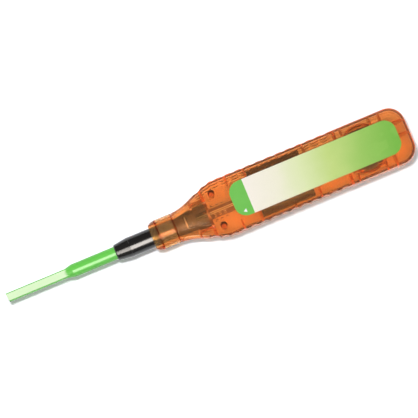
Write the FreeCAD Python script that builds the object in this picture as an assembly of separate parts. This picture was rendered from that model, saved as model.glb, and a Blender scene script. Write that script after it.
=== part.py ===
import FreeCAD, Part
import math
import os

from FreeCAD import Vector

# A click-action cleaning pen for fibre connectors. Lengths are in millimetres.
#
# The pieces are drawn about the pen's own axis: X is the distance from the nose, Y is across
# the pen and Z is up through its flat front face. put() then moves each one to the frame of
# the whole object, whose origin is under the middle of its box.

# ---- lengths along the pen, from the nose to the tail ----
TIP_LENGTH = 31.0
TIP_CONE_LENGTH = 4.5
TUBE_SHOW = 23.25
NOZZLE_TAPER = 7.75
NOZZLE_SHOW = 12.0
COLLAR_LENGTH = 13.0
FLARE_LENGTH = 25.5
BODY_LENGTH = 100.5

# ---- guide tube ----
TIP_WIDTH = 4.4
TIP_SLANT = 8.0
TIP_EDGE = 0.45
TUBE_RADIUS = 3.325
TUBE_HOLD = 17.25
FERRULE_BORE_RADIUS = 0.65
FERRULE_BORE_LENGTH = 4.0
HEAD_BORE_LENGTH = 4.0

# ---- nozzle and rotor case ----
NOZZLE_RADIUS = 5.0
NOZZLE_LIP_RADIUS = 4.1
NOZZLE_RIDGE = 0.12
NOZZLE_EDGE = 0.4
NOZZLE_TAIL = 3.9
CASE_JOINT_LENGTH = 6.0
CASE_JOINT_RADIUS = 4.0
CASE_BARREL_LENGTH = 8.6
CASE_GROOVE = 0.8
CASE_GROOVE_DEPTH = 0.15
CASE_FRONT_RADIUS = 4.55
CASE_REAR_RADIUS = 6.5
CASE_CONE_LENGTH = 16.5
CASE_CHAMBER_RADIUS = 4.6
CASE_SLOT_LENGTH = 6.0
CASE_SLOT_WIDTH = 3.0
CLIP_LENGTH = 3.2
CLIP_WIDTH = 7.2
CLIP_SLIT = 0.6
CLIP_CORNER = 1.0
CLIP_FRONT = 4.9

# ---- rotor, stem and head ----
STROKE = 11.0
ROTOR_RADIUS = 3.4
ROTOR_FROM_NOZZLE = 1.6
ROTOR_LENGTH = 17.5
ROTOR_FRONT_WALL = 7.0
ROTOR_SQUARE = 3.1
GROOVE_DEPTH = 0.7
GROOVE_END_RELIEF = 0.04
PEG_RADIUS = 0.9
PEG_FROM_REAR = 2.0
STEM_RADIUS = 1.15
STEM_BORE_RADIUS = 0.78
STEM_FRONT = 9.5
STEM_FLANGE_LENGTH = 1.2
STEM_TAIL_LENGTH = 7.2
HEAD_RADIUS = 0.62
HEAD_WEB = 0.44
HEAD_SHANK = 3.0
HEAD_TRAVEL = 1.5
SEAT_THICKNESS = 1.0
RETAINER_THICKNESS = 0.8
RETAINER_HOLE_RADIUS = 2.2
HEAD_SPRING_WIRE = 0.13
HEAD_SPRING_TURNS = 7

# ---- cleaning thread ----
THREAD_RADIUS = 0.2
THREAD_SPACING = 0.84

# ---- handle shells ----
NECK_RADIUS = 7.8
BODY_HALF_WIDTH = 14.85
BODY_HALF_HEIGHT = 9.5
WALL = 1.6
BEVEL_WIDTH = 4.25
BEVEL_DROP = 4.1
SIDE_CROWN = 0.3
BEVEL_CROWN = 0.35
NECK_FACE_ANGLE = 40.0
NECK_SIDE_ANGLE = 25.0
TAIL_CORNER = 8.6
SEAM_GAP = 0.08
SPIGOT_LENGTH = 9.1
SPIGOT_RADIUS = 6.75
SPIGOT_BORE_RADIUS = 5.5
COLLAR_RADIUS = 7.75
COLLAR_FRONT_RADIUS = 6.4
COLLAR_NOSE_LENGTH = 5.0
COLLAR_EDGE = 0.3
COLLAR_BOW = 0.28
COLLAR_BOW_AT = 0.42
COLLAR_GAP = 0.12
SCALLOP_PITCH = 5.45
SCALLOP_CHORD = 5.0
SCALLOP_DEPTH = 0.6
SCALLOP_COUNT = 14
DOT_RADIUS = 0.8
DOT_DEPTH = 0.7
DOT_PITCH = 2.65
DOT_ROWS = (2.6, 5.5)
RIB = 0.9
HEAVY_RIB = 1.4
RIB_GAP_HALF_WIDTH = 1.6
CHANNEL_WALL = 0.9
BOSS_RADIUS = 1.7
BOSS_PIN_RADIUS = 1.1
BOSS_PIN_LENGTH = 1.2
BOSS_FROM_BODY = 3.0
BOSS_FROM_SIDE = 6.35
LABEL_RIB_OFFSET = 0.85
GEAR_RIB_OFFSET = 3.0
FRAME_RIB_OFFSET = 2.85
SPRING_RIB_OFFSET = 0.5
REEL_RIB_FRONT = 7.65
REEL_RIB_REAR = 7.5
REEL_RIB_FRONT_GAP = 1.0
REEL_RIB_REAR_GAP = 0.2
TAIL_RIB_OFFSET = 1.95
CHANNEL_FROM_NECK = 10.25
SPRING_SEAT_HALF_WIDTH = 3.5
GEAR_BOSS_RADIUS = 2.2
REEL_BOSS_RADIUS = 3.2
EDGE_LINE_RADIUS = 0.2
EDGE_LINE_INSET = 0.25
LABEL_LENGTH = 89.0
LABEL_WIDTH = 18.1
LABEL_CORNER = 6.0
LABEL_THICKNESS = 0.12
LABEL_RECESS = 0.16
LABEL_FROM_TAIL = 6.3

# ---- slide tray, rack and drive ----
TRAY_TOP = -4.9
TRAY_THICKNESS = 1.6
TRAY_HALF_WIDTH = 6.7
TRAY_SPINE_HALF_WIDTH = 2.6
TRAY_PLATE = 1.5
TRAY_PLUG_LENGTH = 2.0
TRAY_TAB = 1.5
TRAY_TAB_FROM_FRAME = 2.0
TRAY_TAB_TOP = -1.5
TRAY_TAB_HALF_WIDTH = 2.6
GEAR_TEETH = 16
GEAR_MODULE = 0.5
GEAR_ADDENDUM = 1.0
GEAR_DEDENDUM = 1.25
PRESSURE_ANGLE = 20.0
GEAR_FROM_TAIL = 69.5
AXLE_RADIUS = 1.0
AXLE_EMBED = 0.8
HUB_RADIUS = 4.0
PAWL_BOSS_WALL = 0.7
PAWL_THICKNESS = 0.45
PAWL_REACH = 2.55
PAWL_ROOT_WIDTH = 0.6
PAWL_TIP_WIDTH = 0.5
PAWL_TIP_STAND = 0.35
REEL_FLANGE = 0.8
REEL_HOLE_SHARE = 0.28
REEL_HOLES = 6
REEL_HEIGHT = 8.0
REEL_BOTTOM = -4.3
TAKEUP_RADIUS = 9.3
TAKEUP_ROLL_RADIUS = 4.6
RATCHET_RADIUS = 3.3
RATCHET_TEETH = 12
RATCHET_DEPTH = 1.5
SUPPLY_RADIUS = 10.8
SUPPLY_ROLL_RADIUS = 9.8
SUPPLY_FROM_TAIL = 24.5
SUPPLY_AXLE_RADIUS = 1.5
BRAKE_RADIUS = 4.2
BRAKE_THICKNESS = 0.6
CLIP_RING_RADIUS = 2.6
CLIP_RING_THICKNESS = 0.6
CLIP_RING_MOUTH = 1.6
FRAME_LENGTH = 28.0
FRAME_HALF_WIDTH = 11.75
FRAME_SIDE = 1.55
FRAME_CEILING = 5.5
GUIDE_BAR_RADIUS = 0.5
GUIDE_BAR_FROM_REEL = 1.2
GUIDE_PIN_RADIUS = 0.6
GUIDE_PIN_FROM_FRAME = 8.0
WELL_WALL = 0.8
SPRING_RADIUS = 1.9
SPRING_WIRE = 0.25
SPRING_TURNS = 9
SPRING_PEG_RADIUS = 1.2
SPRING_PEG_LENGTH = 2.5

# ---- clearances ----
RUNNING = 0.08
SLIDING = 0.2
SWING = 0.3
LABEL_GAP = 0.1

# ---- stations worked out from the lengths ----
TUBE_START = TIP_LENGTH + TIP_CONE_LENGTH
NOZZLE_START = TUBE_START + TUBE_SHOW
NOZZLE_RIDGE_AT = NOZZLE_START + NOZZLE_TAPER
COLLAR_START = NOZZLE_RIDGE_AT + NOZZLE_SHOW
NECK_START = COLLAR_START + COLLAR_LENGTH
BODY_START = NECK_START + FLARE_LENGTH
TAIL_END = BODY_START + BODY_LENGTH
CORNER_AT = TAIL_END - TAIL_CORNER
NOZZLE_END = COLLAR_START + NOZZLE_TAIL
TUBE_END = NOZZLE_START + TUBE_HOLD
CASE_BARREL_END = NOZZLE_END + CASE_BARREL_LENGTH
CASE_CONE_START = CASE_BARREL_END + CASE_GROOVE
CASE_END = CASE_CONE_START + CASE_CONE_LENGTH
CASE_JOINT_START = NOZZLE_END - CASE_JOINT_LENGTH
ROTOR_START = NOZZLE_END + ROTOR_FROM_NOZZLE
ROTOR_END = ROTOR_START + ROTOR_LENGTH
SQUARE_START = ROTOR_START + ROTOR_FRONT_WALL
SQUARE_END = ROTOR_END - SEAT_THICKNESS
PEG_AT = ROTOR_END - PEG_FROM_REAR
CAVITY_START = NECK_START + WALL
CHANNEL_FRONT = NECK_START + CHANNEL_FROM_NECK
CHANNEL_REAR = CASE_END + HEAVY_RIB / 2
GEAR_AT = TAIL_END - GEAR_FROM_TAIL
GEAR_RADIUS = GEAR_TEETH * GEAR_MODULE / 2
SUPPLY_AT = TAIL_END - SUPPLY_FROM_TAIL
WELL_RADIUS = SUPPLY_RADIUS + 2 * SWING
FRAME_FRONT = GEAR_AT - FRAME_LENGTH / 2
FRAME_REAR = GEAR_AT + FRAME_LENGTH / 2
SPRING_SEAT_REAR = SUPPLY_AT - SUPPLY_RADIUS - 4 * SWING
SPRING_SEAT_FRONT = SPRING_SEAT_REAR - HEAVY_RIB
LABEL_END = TAIL_END - LABEL_FROM_TAIL
LABEL_START = LABEL_END - LABEL_LENGTH
BOSS_AT = BODY_START - BOSS_FROM_BODY
BOSS_Y = BODY_HALF_WIDTH - BOSS_FROM_SIDE
FACE_HALF_WIDTH = BODY_HALF_WIDTH - BEVEL_WIDTH
FLOOR = -(BODY_HALF_HEIGHT - WALL)
REEL_TOP = REEL_BOTTOM + REEL_HEIGHT
TRAY_BOTTOM = TRAY_TOP - TRAY_THICKNESS
SPRING_Z = TRAY_BOTTOM + SPRING_RADIUS + SPRING_WIRE
TRAY_TAB_AT = FRAME_REAR - TRAY_TAB_FROM_FRAME
SUPPLY_BOSS_TOP = REEL_BOTTOM - SLIDING - BRAKE_THICKNESS
GUIDE_PIN_AT = FRAME_REAR + GUIDE_PIN_FROM_FRAME
FRESH_THREAD_Y = AXLE_RADIUS + THREAD_RADIUS + SWING
GUIDE_PIN_Y = FRESH_THREAD_Y + THREAD_RADIUS + GUIDE_PIN_RADIUS + RUNNING
GUIDE_PIN_TOP = -FLOOR + AXLE_EMBED
PEG_TIP = -(ROTOR_RADIUS - GROOVE_DEPTH + RUNNING)
BEVEL_ANGLE = math.atan2(BEVEL_DROP, BEVEL_WIDTH - SIDE_CROWN)
LONG = 2 * TAIL_END


# ---- small helpers ----
def box(x0, x1, y0, y1, z0, z1):
    return Part.makeBox(x1 - x0, y1 - y0, z1 - z0, Vector(x0, y0, z0))


def rod_x(radius, x0, x1, y=0.0, z=0.0):
    return Part.makeCylinder(radius, x1 - x0, Vector(x0, y, z), Vector(1, 0, 0))


def rod_z(radius, z0, z1, x, y=0.0):
    return Part.makeCylinder(radius, z1 - z0, Vector(x, y, z0), Vector(0, 0, 1))


def ring_z(outer, inner, z0, z1, x, y=0.0):
    return rod_z(outer, z0, z1, x, y).cut(rod_z(inner, z0 - 1, z1 + 1, x, y))


def turned(profile):
    """A solid of revolution about the pen's axis from (station, radius) points."""
    points = [Vector(x, 0, r) for x, r in profile]
    points.append(points[0])
    face = Part.Face(Part.makePolygon(points))
    return face.revolve(Vector(0, 0, 0), Vector(1, 0, 0), 360)


def flat_shape(points, z0, z1):
    """A flat plate from (x, y) corners."""
    corners = [Vector(x, y, z0) for x, y in points]
    corners.append(corners[0])
    return Part.Face(Part.makePolygon(corners)).extrude(Vector(0, 0, z1 - z0))


def joined(shapes):
    result = shapes[0]
    if len(shapes) > 1:
        result = result.fuse(shapes[1:])
    return result.removeSplitter()


def mirrored_pair(shape):
    return [shape, shape.mirror(Vector(0, 0, 0), Vector(0, 1, 0))]


def strand(points, radius):
    """A thread laid through the points, with a round elbow at each bend."""
    pieces = []
    for start, end in zip(points, points[1:]):
        run = end - start
        pieces.append(Part.makeCylinder(radius, run.Length, start, run))
    for elbow in points[1:-1]:
        pieces.append(Part.makeSphere(radius, elbow))
    return joined(pieces)


def coil(radius, wire, turns, start, end, y=0.0, z=0.0):
    """A round-wire spring along X between two stations."""
    height = end - start - 2 * wire
    helix = Part.makeHelix(height / turns, height, radius)
    section = Part.Wire(Part.Circle(Vector(radius, 0, 0), Vector(0, 1, 0), wire).toShape())
    spring = Part.Wire(helix).makePipeShell([section], True, True)
    spring.rotate(Vector(0, 0, 0), Vector(0, 1, 0), 90)
    spring.translate(Vector(start + wire, y, z))
    return spring


# ---- the handle's outer form, which also gives its cavity ----
def flare(station):
    """How far the section has grown from the neck, 0, to the body, 1."""
    t = min(max((station - NECK_START) / FLARE_LENGTH, 0.0), 1.0)
    return t * t * (3 - 2 * t)


def section_sizes(station, inset):
    """Half width, half height, half face, half side and the three crowns of a section."""
    neck = NECK_RADIUS - inset
    face_angle = math.radians(NECK_FACE_ANGLE)
    side_angle = math.radians(NECK_SIDE_ANGLE)
    bevel_half = (math.pi / 2 - face_angle - side_angle) / 2
    round_sizes = (
        neck,
        neck,
        neck * math.sin(face_angle),
        neck * math.sin(side_angle),
        neck * (1 - math.cos(face_angle)),
        neck * (1 - math.cos(side_angle)),
        neck * (1 - math.cos(bevel_half)),
    )
    face_shift = inset * math.tan(BEVEL_ANGLE / 2)
    side_shift = inset * math.tan((math.pi / 2 - BEVEL_ANGLE) / 2)
    body_sizes = (
        BODY_HALF_WIDTH - inset,
        BODY_HALF_HEIGHT - inset,
        FACE_HALF_WIDTH - face_shift,
        BODY_HALF_HEIGHT - BEVEL_DROP - side_shift,
        0.0,
        SIDE_CROWN,
        BEVEL_CROWN,
    )
    grown = flare(station)
    return [a + (b - a) * grown for a, b in zip(round_sizes, body_sizes)]


def bulge(start, end, height):
    """The middle point of an arc that stands out from its chord, away from the axis."""
    middle = (start + end) * 0.5
    chord = end - start
    out = Vector(0, chord.z, -chord.y)
    out.normalize()
    if out.dot(middle) < 0:
        out = out * -1
    return middle + out * height


def curve(start, middle, end, crown):
    if crown < 1e-6:
        return Part.LineSegment(start, end).toShape()
    return Part.Arc(start, middle, end).toShape()


def right_edges(sizes):
    """The section's edges on the +Y side, from the top face's edge down to the bottom's."""
    width, height, face, side, face_crown, side_crown, bevel_crown = sizes
    top = Vector(0, face, height - face_crown)
    upper = Vector(0, width - side_crown, side)
    lower = Vector(0, width - side_crown, -side)
    bottom = Vector(0, face, -(height - face_crown))
    return [
        curve(top, bulge(top, upper, bevel_crown), upper, bevel_crown),
        curve(upper, Vector(0, width, 0), lower, side_crown),
        curve(lower, bulge(lower, bottom, bevel_crown), bottom, bevel_crown),
    ]


def section_wire(station, inset):
    sizes = section_sizes(station, inset)
    height, face, face_crown = sizes[1], sizes[2], sizes[4]
    rim = height - face_crown
    bottom = curve(Vector(0, face, -rim), Vector(0, 0, -height), Vector(0, -face, -rim), face_crown)
    top = curve(Vector(0, -face, rim), Vector(0, 0, height), Vector(0, face, rim), face_crown)
    right = right_edges(sizes)
    left = [edge.mirror(Vector(0, 0, 0), Vector(0, 1, 0)) for edge in reversed(right)]
    wire = Part.Wire(Part.sortEdges(right + [bottom] + left + [top])[0])
    wire.translate(Vector(station, 0, 0))
    return wire


def flare_solid(start, inset):
    count = 9
    step = (BODY_START - start) / (count - 1)
    wires = [section_wire(start + step * index, inset) for index in range(count)]
    return Part.makeLoft(wires, True, False)


def half_section(inset, inner_y):
    """The body's section between inner_y and its +Y wall, as a face at X = 0."""
    sizes = section_sizes(BODY_START, inset)
    edges = right_edges(sizes)
    height, face = sizes[1], sizes[2]
    corners = [
        Vector(0, face, -height),
        Vector(0, inner_y, -height),
        Vector(0, inner_y, height),
        Vector(0, face, height),
    ]
    for start, end in zip(corners, corners[1:]):
        edges.append(Part.LineSegment(start, end).toShape())
    return Part.Face(Part.Wire(Part.sortEdges(edges)[0]))


def tail_solid(inset):
    """The straight body and its rounded tail."""
    straight = Part.Face(section_wire(BODY_START, inset))
    straight = straight.extrude(Vector(CORNER_AT - BODY_START, 0, 0))
    corner_y = BODY_HALF_WIDTH - TAIL_CORNER
    rim = half_section(inset, corner_y)
    rim.translate(Vector(CORNER_AT, 0, 0))
    corner = rim.revolve(Vector(CORNER_AT, corner_y, 0), Vector(0, 0, 1), -90)
    end = half_section(inset, corner_y)
    end.translate(Vector(0, -corner_y, 0))
    end.rotate(Vector(0, 0, 0), Vector(0, 0, 1), -90)
    end.translate(Vector(CORNER_AT, -corner_y, 0))
    end = end.extrude(Vector(0, 2 * corner_y, 0))
    return joined([straight, end] + mirrored_pair(corner))


def handle_solid(start, inset):
    return joined([flare_solid(start, inset), tail_solid(inset)])


# ---- what is moulded inside and on the shells ----
def rib(cavity, station, thickness, inner_y):
    """The side parts of a rib, from inner_y out to the walls."""
    half = thickness / 2
    slabs = [
        box(station - half, station + half, inner_y, LONG, -LONG, LONG),
        box(station - half, station + half, -LONG, -inner_y, -LONG, LONG),
    ]
    return [cavity.common(slab) for slab in slabs]


def round_rib(cavity, station, thickness, window_radius):
    """A rib with a round window about the axis and a gap along its middle."""
    half = thickness / 2
    slab = cavity.common(box(station - half, station + half, -LONG, LONG, -LONG, LONG))
    gap = RIB_GAP_HALF_WIDTH
    slab = slab.cut(rod_x(window_radius, station - thickness, station + thickness))
    slab = slab.cut(box(station - thickness, station + thickness, -gap, gap, -LONG, LONG))
    tray_half = TRAY_HALF_WIDTH + SWING
    tray_way = box(station - thickness, station + thickness, -tray_half, tray_half, -LONG, TRAY_TOP + SWING)
    return slab.cut(tray_way)


def channel_walls(cavity):
    inner = CASE_REAR_RADIUS + SWING
    wall = cavity.common(box(CHANNEL_FRONT, CHANNEL_REAR, inner, inner + CHANNEL_WALL, -LONG, LONG))
    return mirrored_pair(wall)


def reel_well(cavity):
    """The curved walls on both sides of the supply reel."""
    ring = ring_z(WELL_RADIUS + WELL_WALL, WELL_RADIUS, -LONG, LONG, SUPPLY_AT)
    open_half = SUPPLY_RADIUS * 0.75
    ring = ring.cut(box(0, LONG, -open_half, open_half, -LONG, LONG))
    return cavity.common(ring)


def tail_webs(cavity, rib_at):
    webs = []
    for y in (CASE_REAR_RADIUS - SWING, -RIB / 2):
        webs.append(cavity.common(box(rib_at, TAIL_END, y - RIB / 2, y + RIB / 2, -LONG, LONG)))
    return webs


def inner_mouldings(cavity):
    """Every rib, wall and boss that both shell halves share across the seam."""
    front_window = CASE_FRONT_RADIUS + (CASE_REAR_RADIUS - CASE_FRONT_RADIUS) * 0.6 + 2 * SWING
    rear_window = CASE_REAR_RADIUS + SWING
    tail_rib_at = SUPPLY_AT + SUPPLY_RADIUS + TAIL_RIB_OFFSET
    inner_y = LABEL_WIDTH / 2 + SWING
    pieces = [
        round_rib(cavity, CHANNEL_FRONT, RIB, front_window),
        round_rib(cavity, CHANNEL_REAR, HEAVY_RIB, rear_window),
        reel_well(cavity),
    ]
    pieces += channel_walls(cavity)
    pieces += rib(cavity, LABEL_START + LABEL_RIB_OFFSET, RIB, inner_y)
    pieces += rib(cavity, FRAME_FRONT - RIB, RIB, TRAY_HALF_WIDTH + SWING)
    pieces += rib(cavity, GEAR_AT + GEAR_RIB_OFFSET, RIB, FRAME_HALF_WIDTH + SLIDING)
    pieces += rib(cavity, FRAME_REAR + FRAME_RIB_OFFSET, RIB, inner_y)
    pieces += rib(cavity, SPRING_SEAT_REAR + SPRING_RIB_OFFSET, HEAVY_RIB, inner_y)
    pieces += rib(cavity, SUPPLY_AT - REEL_RIB_FRONT, RIB, inner_y + REEL_RIB_FRONT_GAP)
    pieces += rib(cavity, SUPPLY_AT + REEL_RIB_REAR, RIB, inner_y + REEL_RIB_REAR_GAP)
    pieces += rib(cavity, tail_rib_at, RIB, 0.0)
    pieces += tail_webs(cavity, tail_rib_at)
    pieces += mirrored_pair(cavity.common(rod_z(BOSS_RADIUS, -LONG, LONG, BOSS_AT, BOSS_Y)))
    return pieces


def lower_mouldings(cavity):
    """Seats that stand on the lower shell's floor."""
    peg_boss = cavity.common(rod_z(PEG_RADIUS * 1.8, -LONG, -case_radius(PEG_AT) - SWING, PEG_AT))
    seat_top = SPRING_Z + SPRING_RADIUS + WALL / 2
    seat_half = SPRING_SEAT_HALF_WIDTH
    spring_seat = box(SPRING_SEAT_FRONT, SPRING_SEAT_REAR, -seat_half, seat_half, FLOOR, seat_top)
    peg_front = SPRING_SEAT_FRONT - SPRING_PEG_LENGTH
    spring_peg = rod_x(SPRING_PEG_RADIUS, peg_front, SPRING_SEAT_FRONT, 0, SPRING_Z)
    gear_boss = rod_z(GEAR_BOSS_RADIUS, FLOOR, TRAY_BOTTOM - RUNNING, GEAR_AT)
    reel_boss = rod_z(REEL_BOSS_RADIUS, FLOOR, SUPPLY_BOSS_TOP, SUPPLY_AT)
    return [peg_boss, spring_seat, spring_peg, gear_boss, reel_boss]


def scallops():
    """Upright round cutters along both sides of the handle."""
    radius = (SCALLOP_CHORD ** 2 / 4 + SCALLOP_DEPTH ** 2) / (2 * SCALLOP_DEPTH)
    first = BODY_START - 2 * SCALLOP_PITCH
    cutters = []
    for index in range(SCALLOP_COUNT):
        station = first + SCALLOP_PITCH * index
        edge = section_sizes(station, 0.0)[0]
        centre = edge + radius - SCALLOP_DEPTH
        cutters += mirrored_pair(rod_z(radius, -LONG, LONG, station, centre))
    return cutters


def grip_dots():
    """Round dimples in the top face, in front of the label."""
    ball_radius = (DOT_RADIUS ** 2 + DOT_DEPTH ** 2) / (2 * DOT_DEPTH)
    balls = []
    for column in range(4):
        station = BODY_START + 0.2 - DOT_PITCH * column
        rows = DOT_ROWS if column < 3 else DOT_ROWS[:1]
        for y in rows:
            height = section_sizes(station, 0.0)[1]
            centre = Vector(station, y, height + ball_radius - DOT_DEPTH)
            balls += mirrored_pair(Part.makeSphere(ball_radius, centre))
    return balls


def edge_line():
    """A fine groove just inside the flat face's bevelled edge, as a cutter."""
    count = 8
    half_line = []
    for index in range(count + 1):
        station = NECK_START + FLARE_LENGTH * index / count
        sizes = section_sizes(station, 0.0)
        half_line.append(Vector(station, sizes[2] - EDGE_LINE_INSET, sizes[1] - sizes[4]))
    corner_y = BODY_HALF_WIDTH - TAIL_CORNER
    reach = FACE_HALF_WIDTH - EDGE_LINE_INSET - corner_y
    for index in range(count + 1):
        angle = math.pi / 2 * (1 - index / count)
        x = CORNER_AT + reach * math.cos(angle)
        half_line.append(Vector(x, corner_y + reach * math.sin(angle), BODY_HALF_HEIGHT))
    half_line.append(Vector(CORNER_AT + reach, 0, BODY_HALF_HEIGHT))
    return mirrored_pair(strand(half_line, EDGE_LINE_RADIUS))


def rounded_plate(x0, x1, half_width, corner, z0, z1):
    plate = box(x0, x1, -half_width, half_width, z0, z1)
    uprights = [edge for edge in plate.Edges if abs(edge.tangentAt(0).z) > 0.9]
    return plate.makeFillet(corner, uprights)


def whole_shell():
    """Both halves in one, and the cavity that they enclose."""
    outer = handle_solid(NECK_START, 0.0)
    cavity = handle_solid(CAVITY_START, WALL)
    spigot = rod_x(SPIGOT_RADIUS, NECK_START - SPIGOT_LENGTH, NECK_START + WALL / 2)
    bore = rod_x(SPIGOT_BORE_RADIUS, NECK_START - SPIGOT_LENGTH - 1, CAVITY_START + 1)
    shell = outer.cut(scallops()).fuse(spigot).cut([cavity, bore])
    shell = shell.fuse(inner_mouldings(cavity))
    return shell, cavity


def upper_half(shell):
    half = shell.common(box(0, LONG, -LONG, LONG, SEAM_GAP / 2, LONG))
    top = BODY_HALF_HEIGHT
    gap = LABEL_GAP
    recess = rounded_plate(LABEL_START - gap, LABEL_END + gap, LABEL_WIDTH / 2 + gap,
                           LABEL_CORNER + gap, top - LABEL_RECESS, top + 1)
    half = half.cut([recess] + grip_dots() + edge_line())
    foot = rod_z(BOSS_RADIUS, 0, SEAM_GAP, BOSS_AT, BOSS_Y)
    pin = rod_z(BOSS_PIN_RADIUS, -BOSS_PIN_LENGTH, SEAM_GAP, BOSS_AT, BOSS_Y)
    pins = mirrored_pair(foot) + mirrored_pair(pin)
    boss_radius = GUIDE_PIN_RADIUS + WALL / 2
    guide_boss = rod_z(boss_radius, GUIDE_PIN_TOP - WALL, -FLOOR, GUIDE_PIN_AT, GUIDE_PIN_Y)
    guide_hole = rod_z(GUIDE_PIN_RADIUS, -1, GUIDE_PIN_TOP, GUIDE_PIN_AT, GUIDE_PIN_Y)
    return joined([half, guide_boss] + pins).cut(guide_hole)


def lower_half(shell, cavity):
    half = shell.common(box(0, LONG, -LONG, LONG, -LONG, -SEAM_GAP / 2))
    half = half.fuse(lower_mouldings(cavity))
    holes = [
        rod_z(PEG_RADIUS, peg_foot(), 0, PEG_AT),
        rod_z(AXLE_RADIUS, FLOOR - AXLE_EMBED, 0, GEAR_AT),
        rod_z(SUPPLY_AXLE_RADIUS, FLOOR - AXLE_EMBED, 0, SUPPLY_AT),
    ]
    feet = mirrored_pair(rod_z(BOSS_RADIUS, -SEAM_GAP, 0, BOSS_AT, BOSS_Y))
    hole = rod_z(BOSS_PIN_RADIUS + RUNNING, -BOSS_PIN_LENGTH - RUNNING, 1, BOSS_AT, BOSS_Y)
    return joined([half] + feet).cut(holes + mirrored_pair(hole))


def nose_collar():
    shoulder = NECK_START - SPIGOT_LENGTH
    front_bore = NOZZLE_RADIUS + RUNNING
    rear = NECK_START - COLLAR_GAP
    body = turned([
        (COLLAR_START, front_bore),
        (COLLAR_START, COLLAR_FRONT_RADIUS),
        (COLLAR_START + COLLAR_NOSE_LENGTH, COLLAR_RADIUS),
        (rear - COLLAR_EDGE, COLLAR_RADIUS),
        (rear, COLLAR_RADIUS - COLLAR_EDGE),
        (rear, SPIGOT_RADIUS),
        (shoulder, SPIGOT_RADIUS),
        (shoulder, front_bore),
    ])
    # the nose is an arc that leans out from its chord
    rise = COLLAR_RADIUS - COLLAR_FRONT_RADIUS
    middle_height = COLLAR_FRONT_RADIUS + rise * (0.5 + COLLAR_BOW)
    middle = Vector(COLLAR_START + COLLAR_NOSE_LENGTH * COLLAR_BOW_AT, 0, middle_height)
    start = Vector(COLLAR_START, 0, COLLAR_FRONT_RADIUS)
    end = Vector(COLLAR_START + COLLAR_NOSE_LENGTH, 0, COLLAR_RADIUS)
    arc = Part.Arc(start, middle, end).toShape()
    bow = Part.Face(Part.Wire([arc, Part.LineSegment(end, start).toShape()]))
    return joined([body, bow.revolve(Vector(0, 0, 0), Vector(1, 0, 0), 360)])


def front_label():
    base = BODY_HALF_HEIGHT - LABEL_RECESS
    return rounded_plate(LABEL_START, LABEL_END, LABEL_WIDTH / 2, LABEL_CORNER, base, base + LABEL_THICKNESS)


# ---- the moving carriage: guide tube, nozzle, rotor case and slide tray ----
def case_radius(station):
    """The rotor case's outer radius at a station of its cone."""
    along = (station - CASE_CONE_START) / CASE_CONE_LENGTH
    return CASE_FRONT_RADIUS + (CASE_REAR_RADIUS - CASE_FRONT_RADIUS) * along


def peg_foot():
    """The bottom of the peg's hole, in the lower shell's wall under the neck."""
    return -(section_sizes(PEG_AT, WALL)[1] + AXLE_EMBED)


def guide_tube():
    half = TIP_WIDTH / 2
    bar = box(0, TIP_LENGTH + 0.1, -half, half, -half, half)
    long_edges = [edge for edge in bar.Edges if abs(edge.tangentAt(0).x) > 0.9]
    bar = bar.makeChamfer(TIP_EDGE, long_edges)
    cone = turned([(TIP_LENGTH, 0), (TIP_LENGTH, half), (TUBE_START, TUBE_RADIUS), (TUBE_START, 0)])
    tube = rod_x(TUBE_RADIUS, TUBE_START, TUBE_END)
    corner_reach = half * 1.3
    shoulder = box(TIP_LENGTH, TUBE_START, -half, half, -half, half)
    shoulder = shoulder.makeChamfer(TIP_EDGE, [e for e in shoulder.Edges if abs(e.tangentAt(0).x) > 0.9])
    fade = turned([(TIP_LENGTH, 0), (TIP_LENGTH, corner_reach), (TUBE_START, TUBE_RADIUS), (TUBE_START, 0)])
    body = joined([bar, cone, tube, shoulder.common(fade)])
    slant = math.tan(math.radians(TIP_SLANT)) * half
    outline = [(-2, half + 1), (-2, -half - 1), (2 * slant, -half), (0, half), (0, half + 1)]
    wedge = flat_shape(outline, -half - 1, half + 1)
    head_bore = STEM_BORE_RADIUS + RUNNING / 2
    bores = [
        rod_x(FERRULE_BORE_RADIUS, -1, FERRULE_BORE_LENGTH + 0.1),
        rod_x(head_bore, FERRULE_BORE_LENGTH, FERRULE_BORE_LENGTH + HEAD_BORE_LENGTH + 0.1),
        rod_x(STEM_RADIUS + SLIDING, FERRULE_BORE_LENGTH + HEAD_BORE_LENGTH, TUBE_END + 1),
    ]
    return body.cut([wedge] + bores)


def nozzle():
    ridge = NOZZLE_RADIUS + NOZZLE_RIDGE
    waist = STEM_RADIUS + 3 * SLIDING
    return turned([
        (NOZZLE_START, TUBE_RADIUS),
        (NOZZLE_START, NOZZLE_LIP_RADIUS - NOZZLE_EDGE),
        (NOZZLE_START + NOZZLE_EDGE, NOZZLE_LIP_RADIUS),
        (NOZZLE_RIDGE_AT, ridge),
        (NOZZLE_RIDGE_AT + NOZZLE_RIDGE, NOZZLE_RADIUS),
        (NOZZLE_END, NOZZLE_RADIUS),
        (NOZZLE_END, CASE_JOINT_RADIUS),
        (CASE_JOINT_START, CASE_JOINT_RADIUS),
        (CASE_JOINT_START, waist),
        (TUBE_END, waist),
        (TUBE_END, TUBE_RADIUS),
    ])


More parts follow.
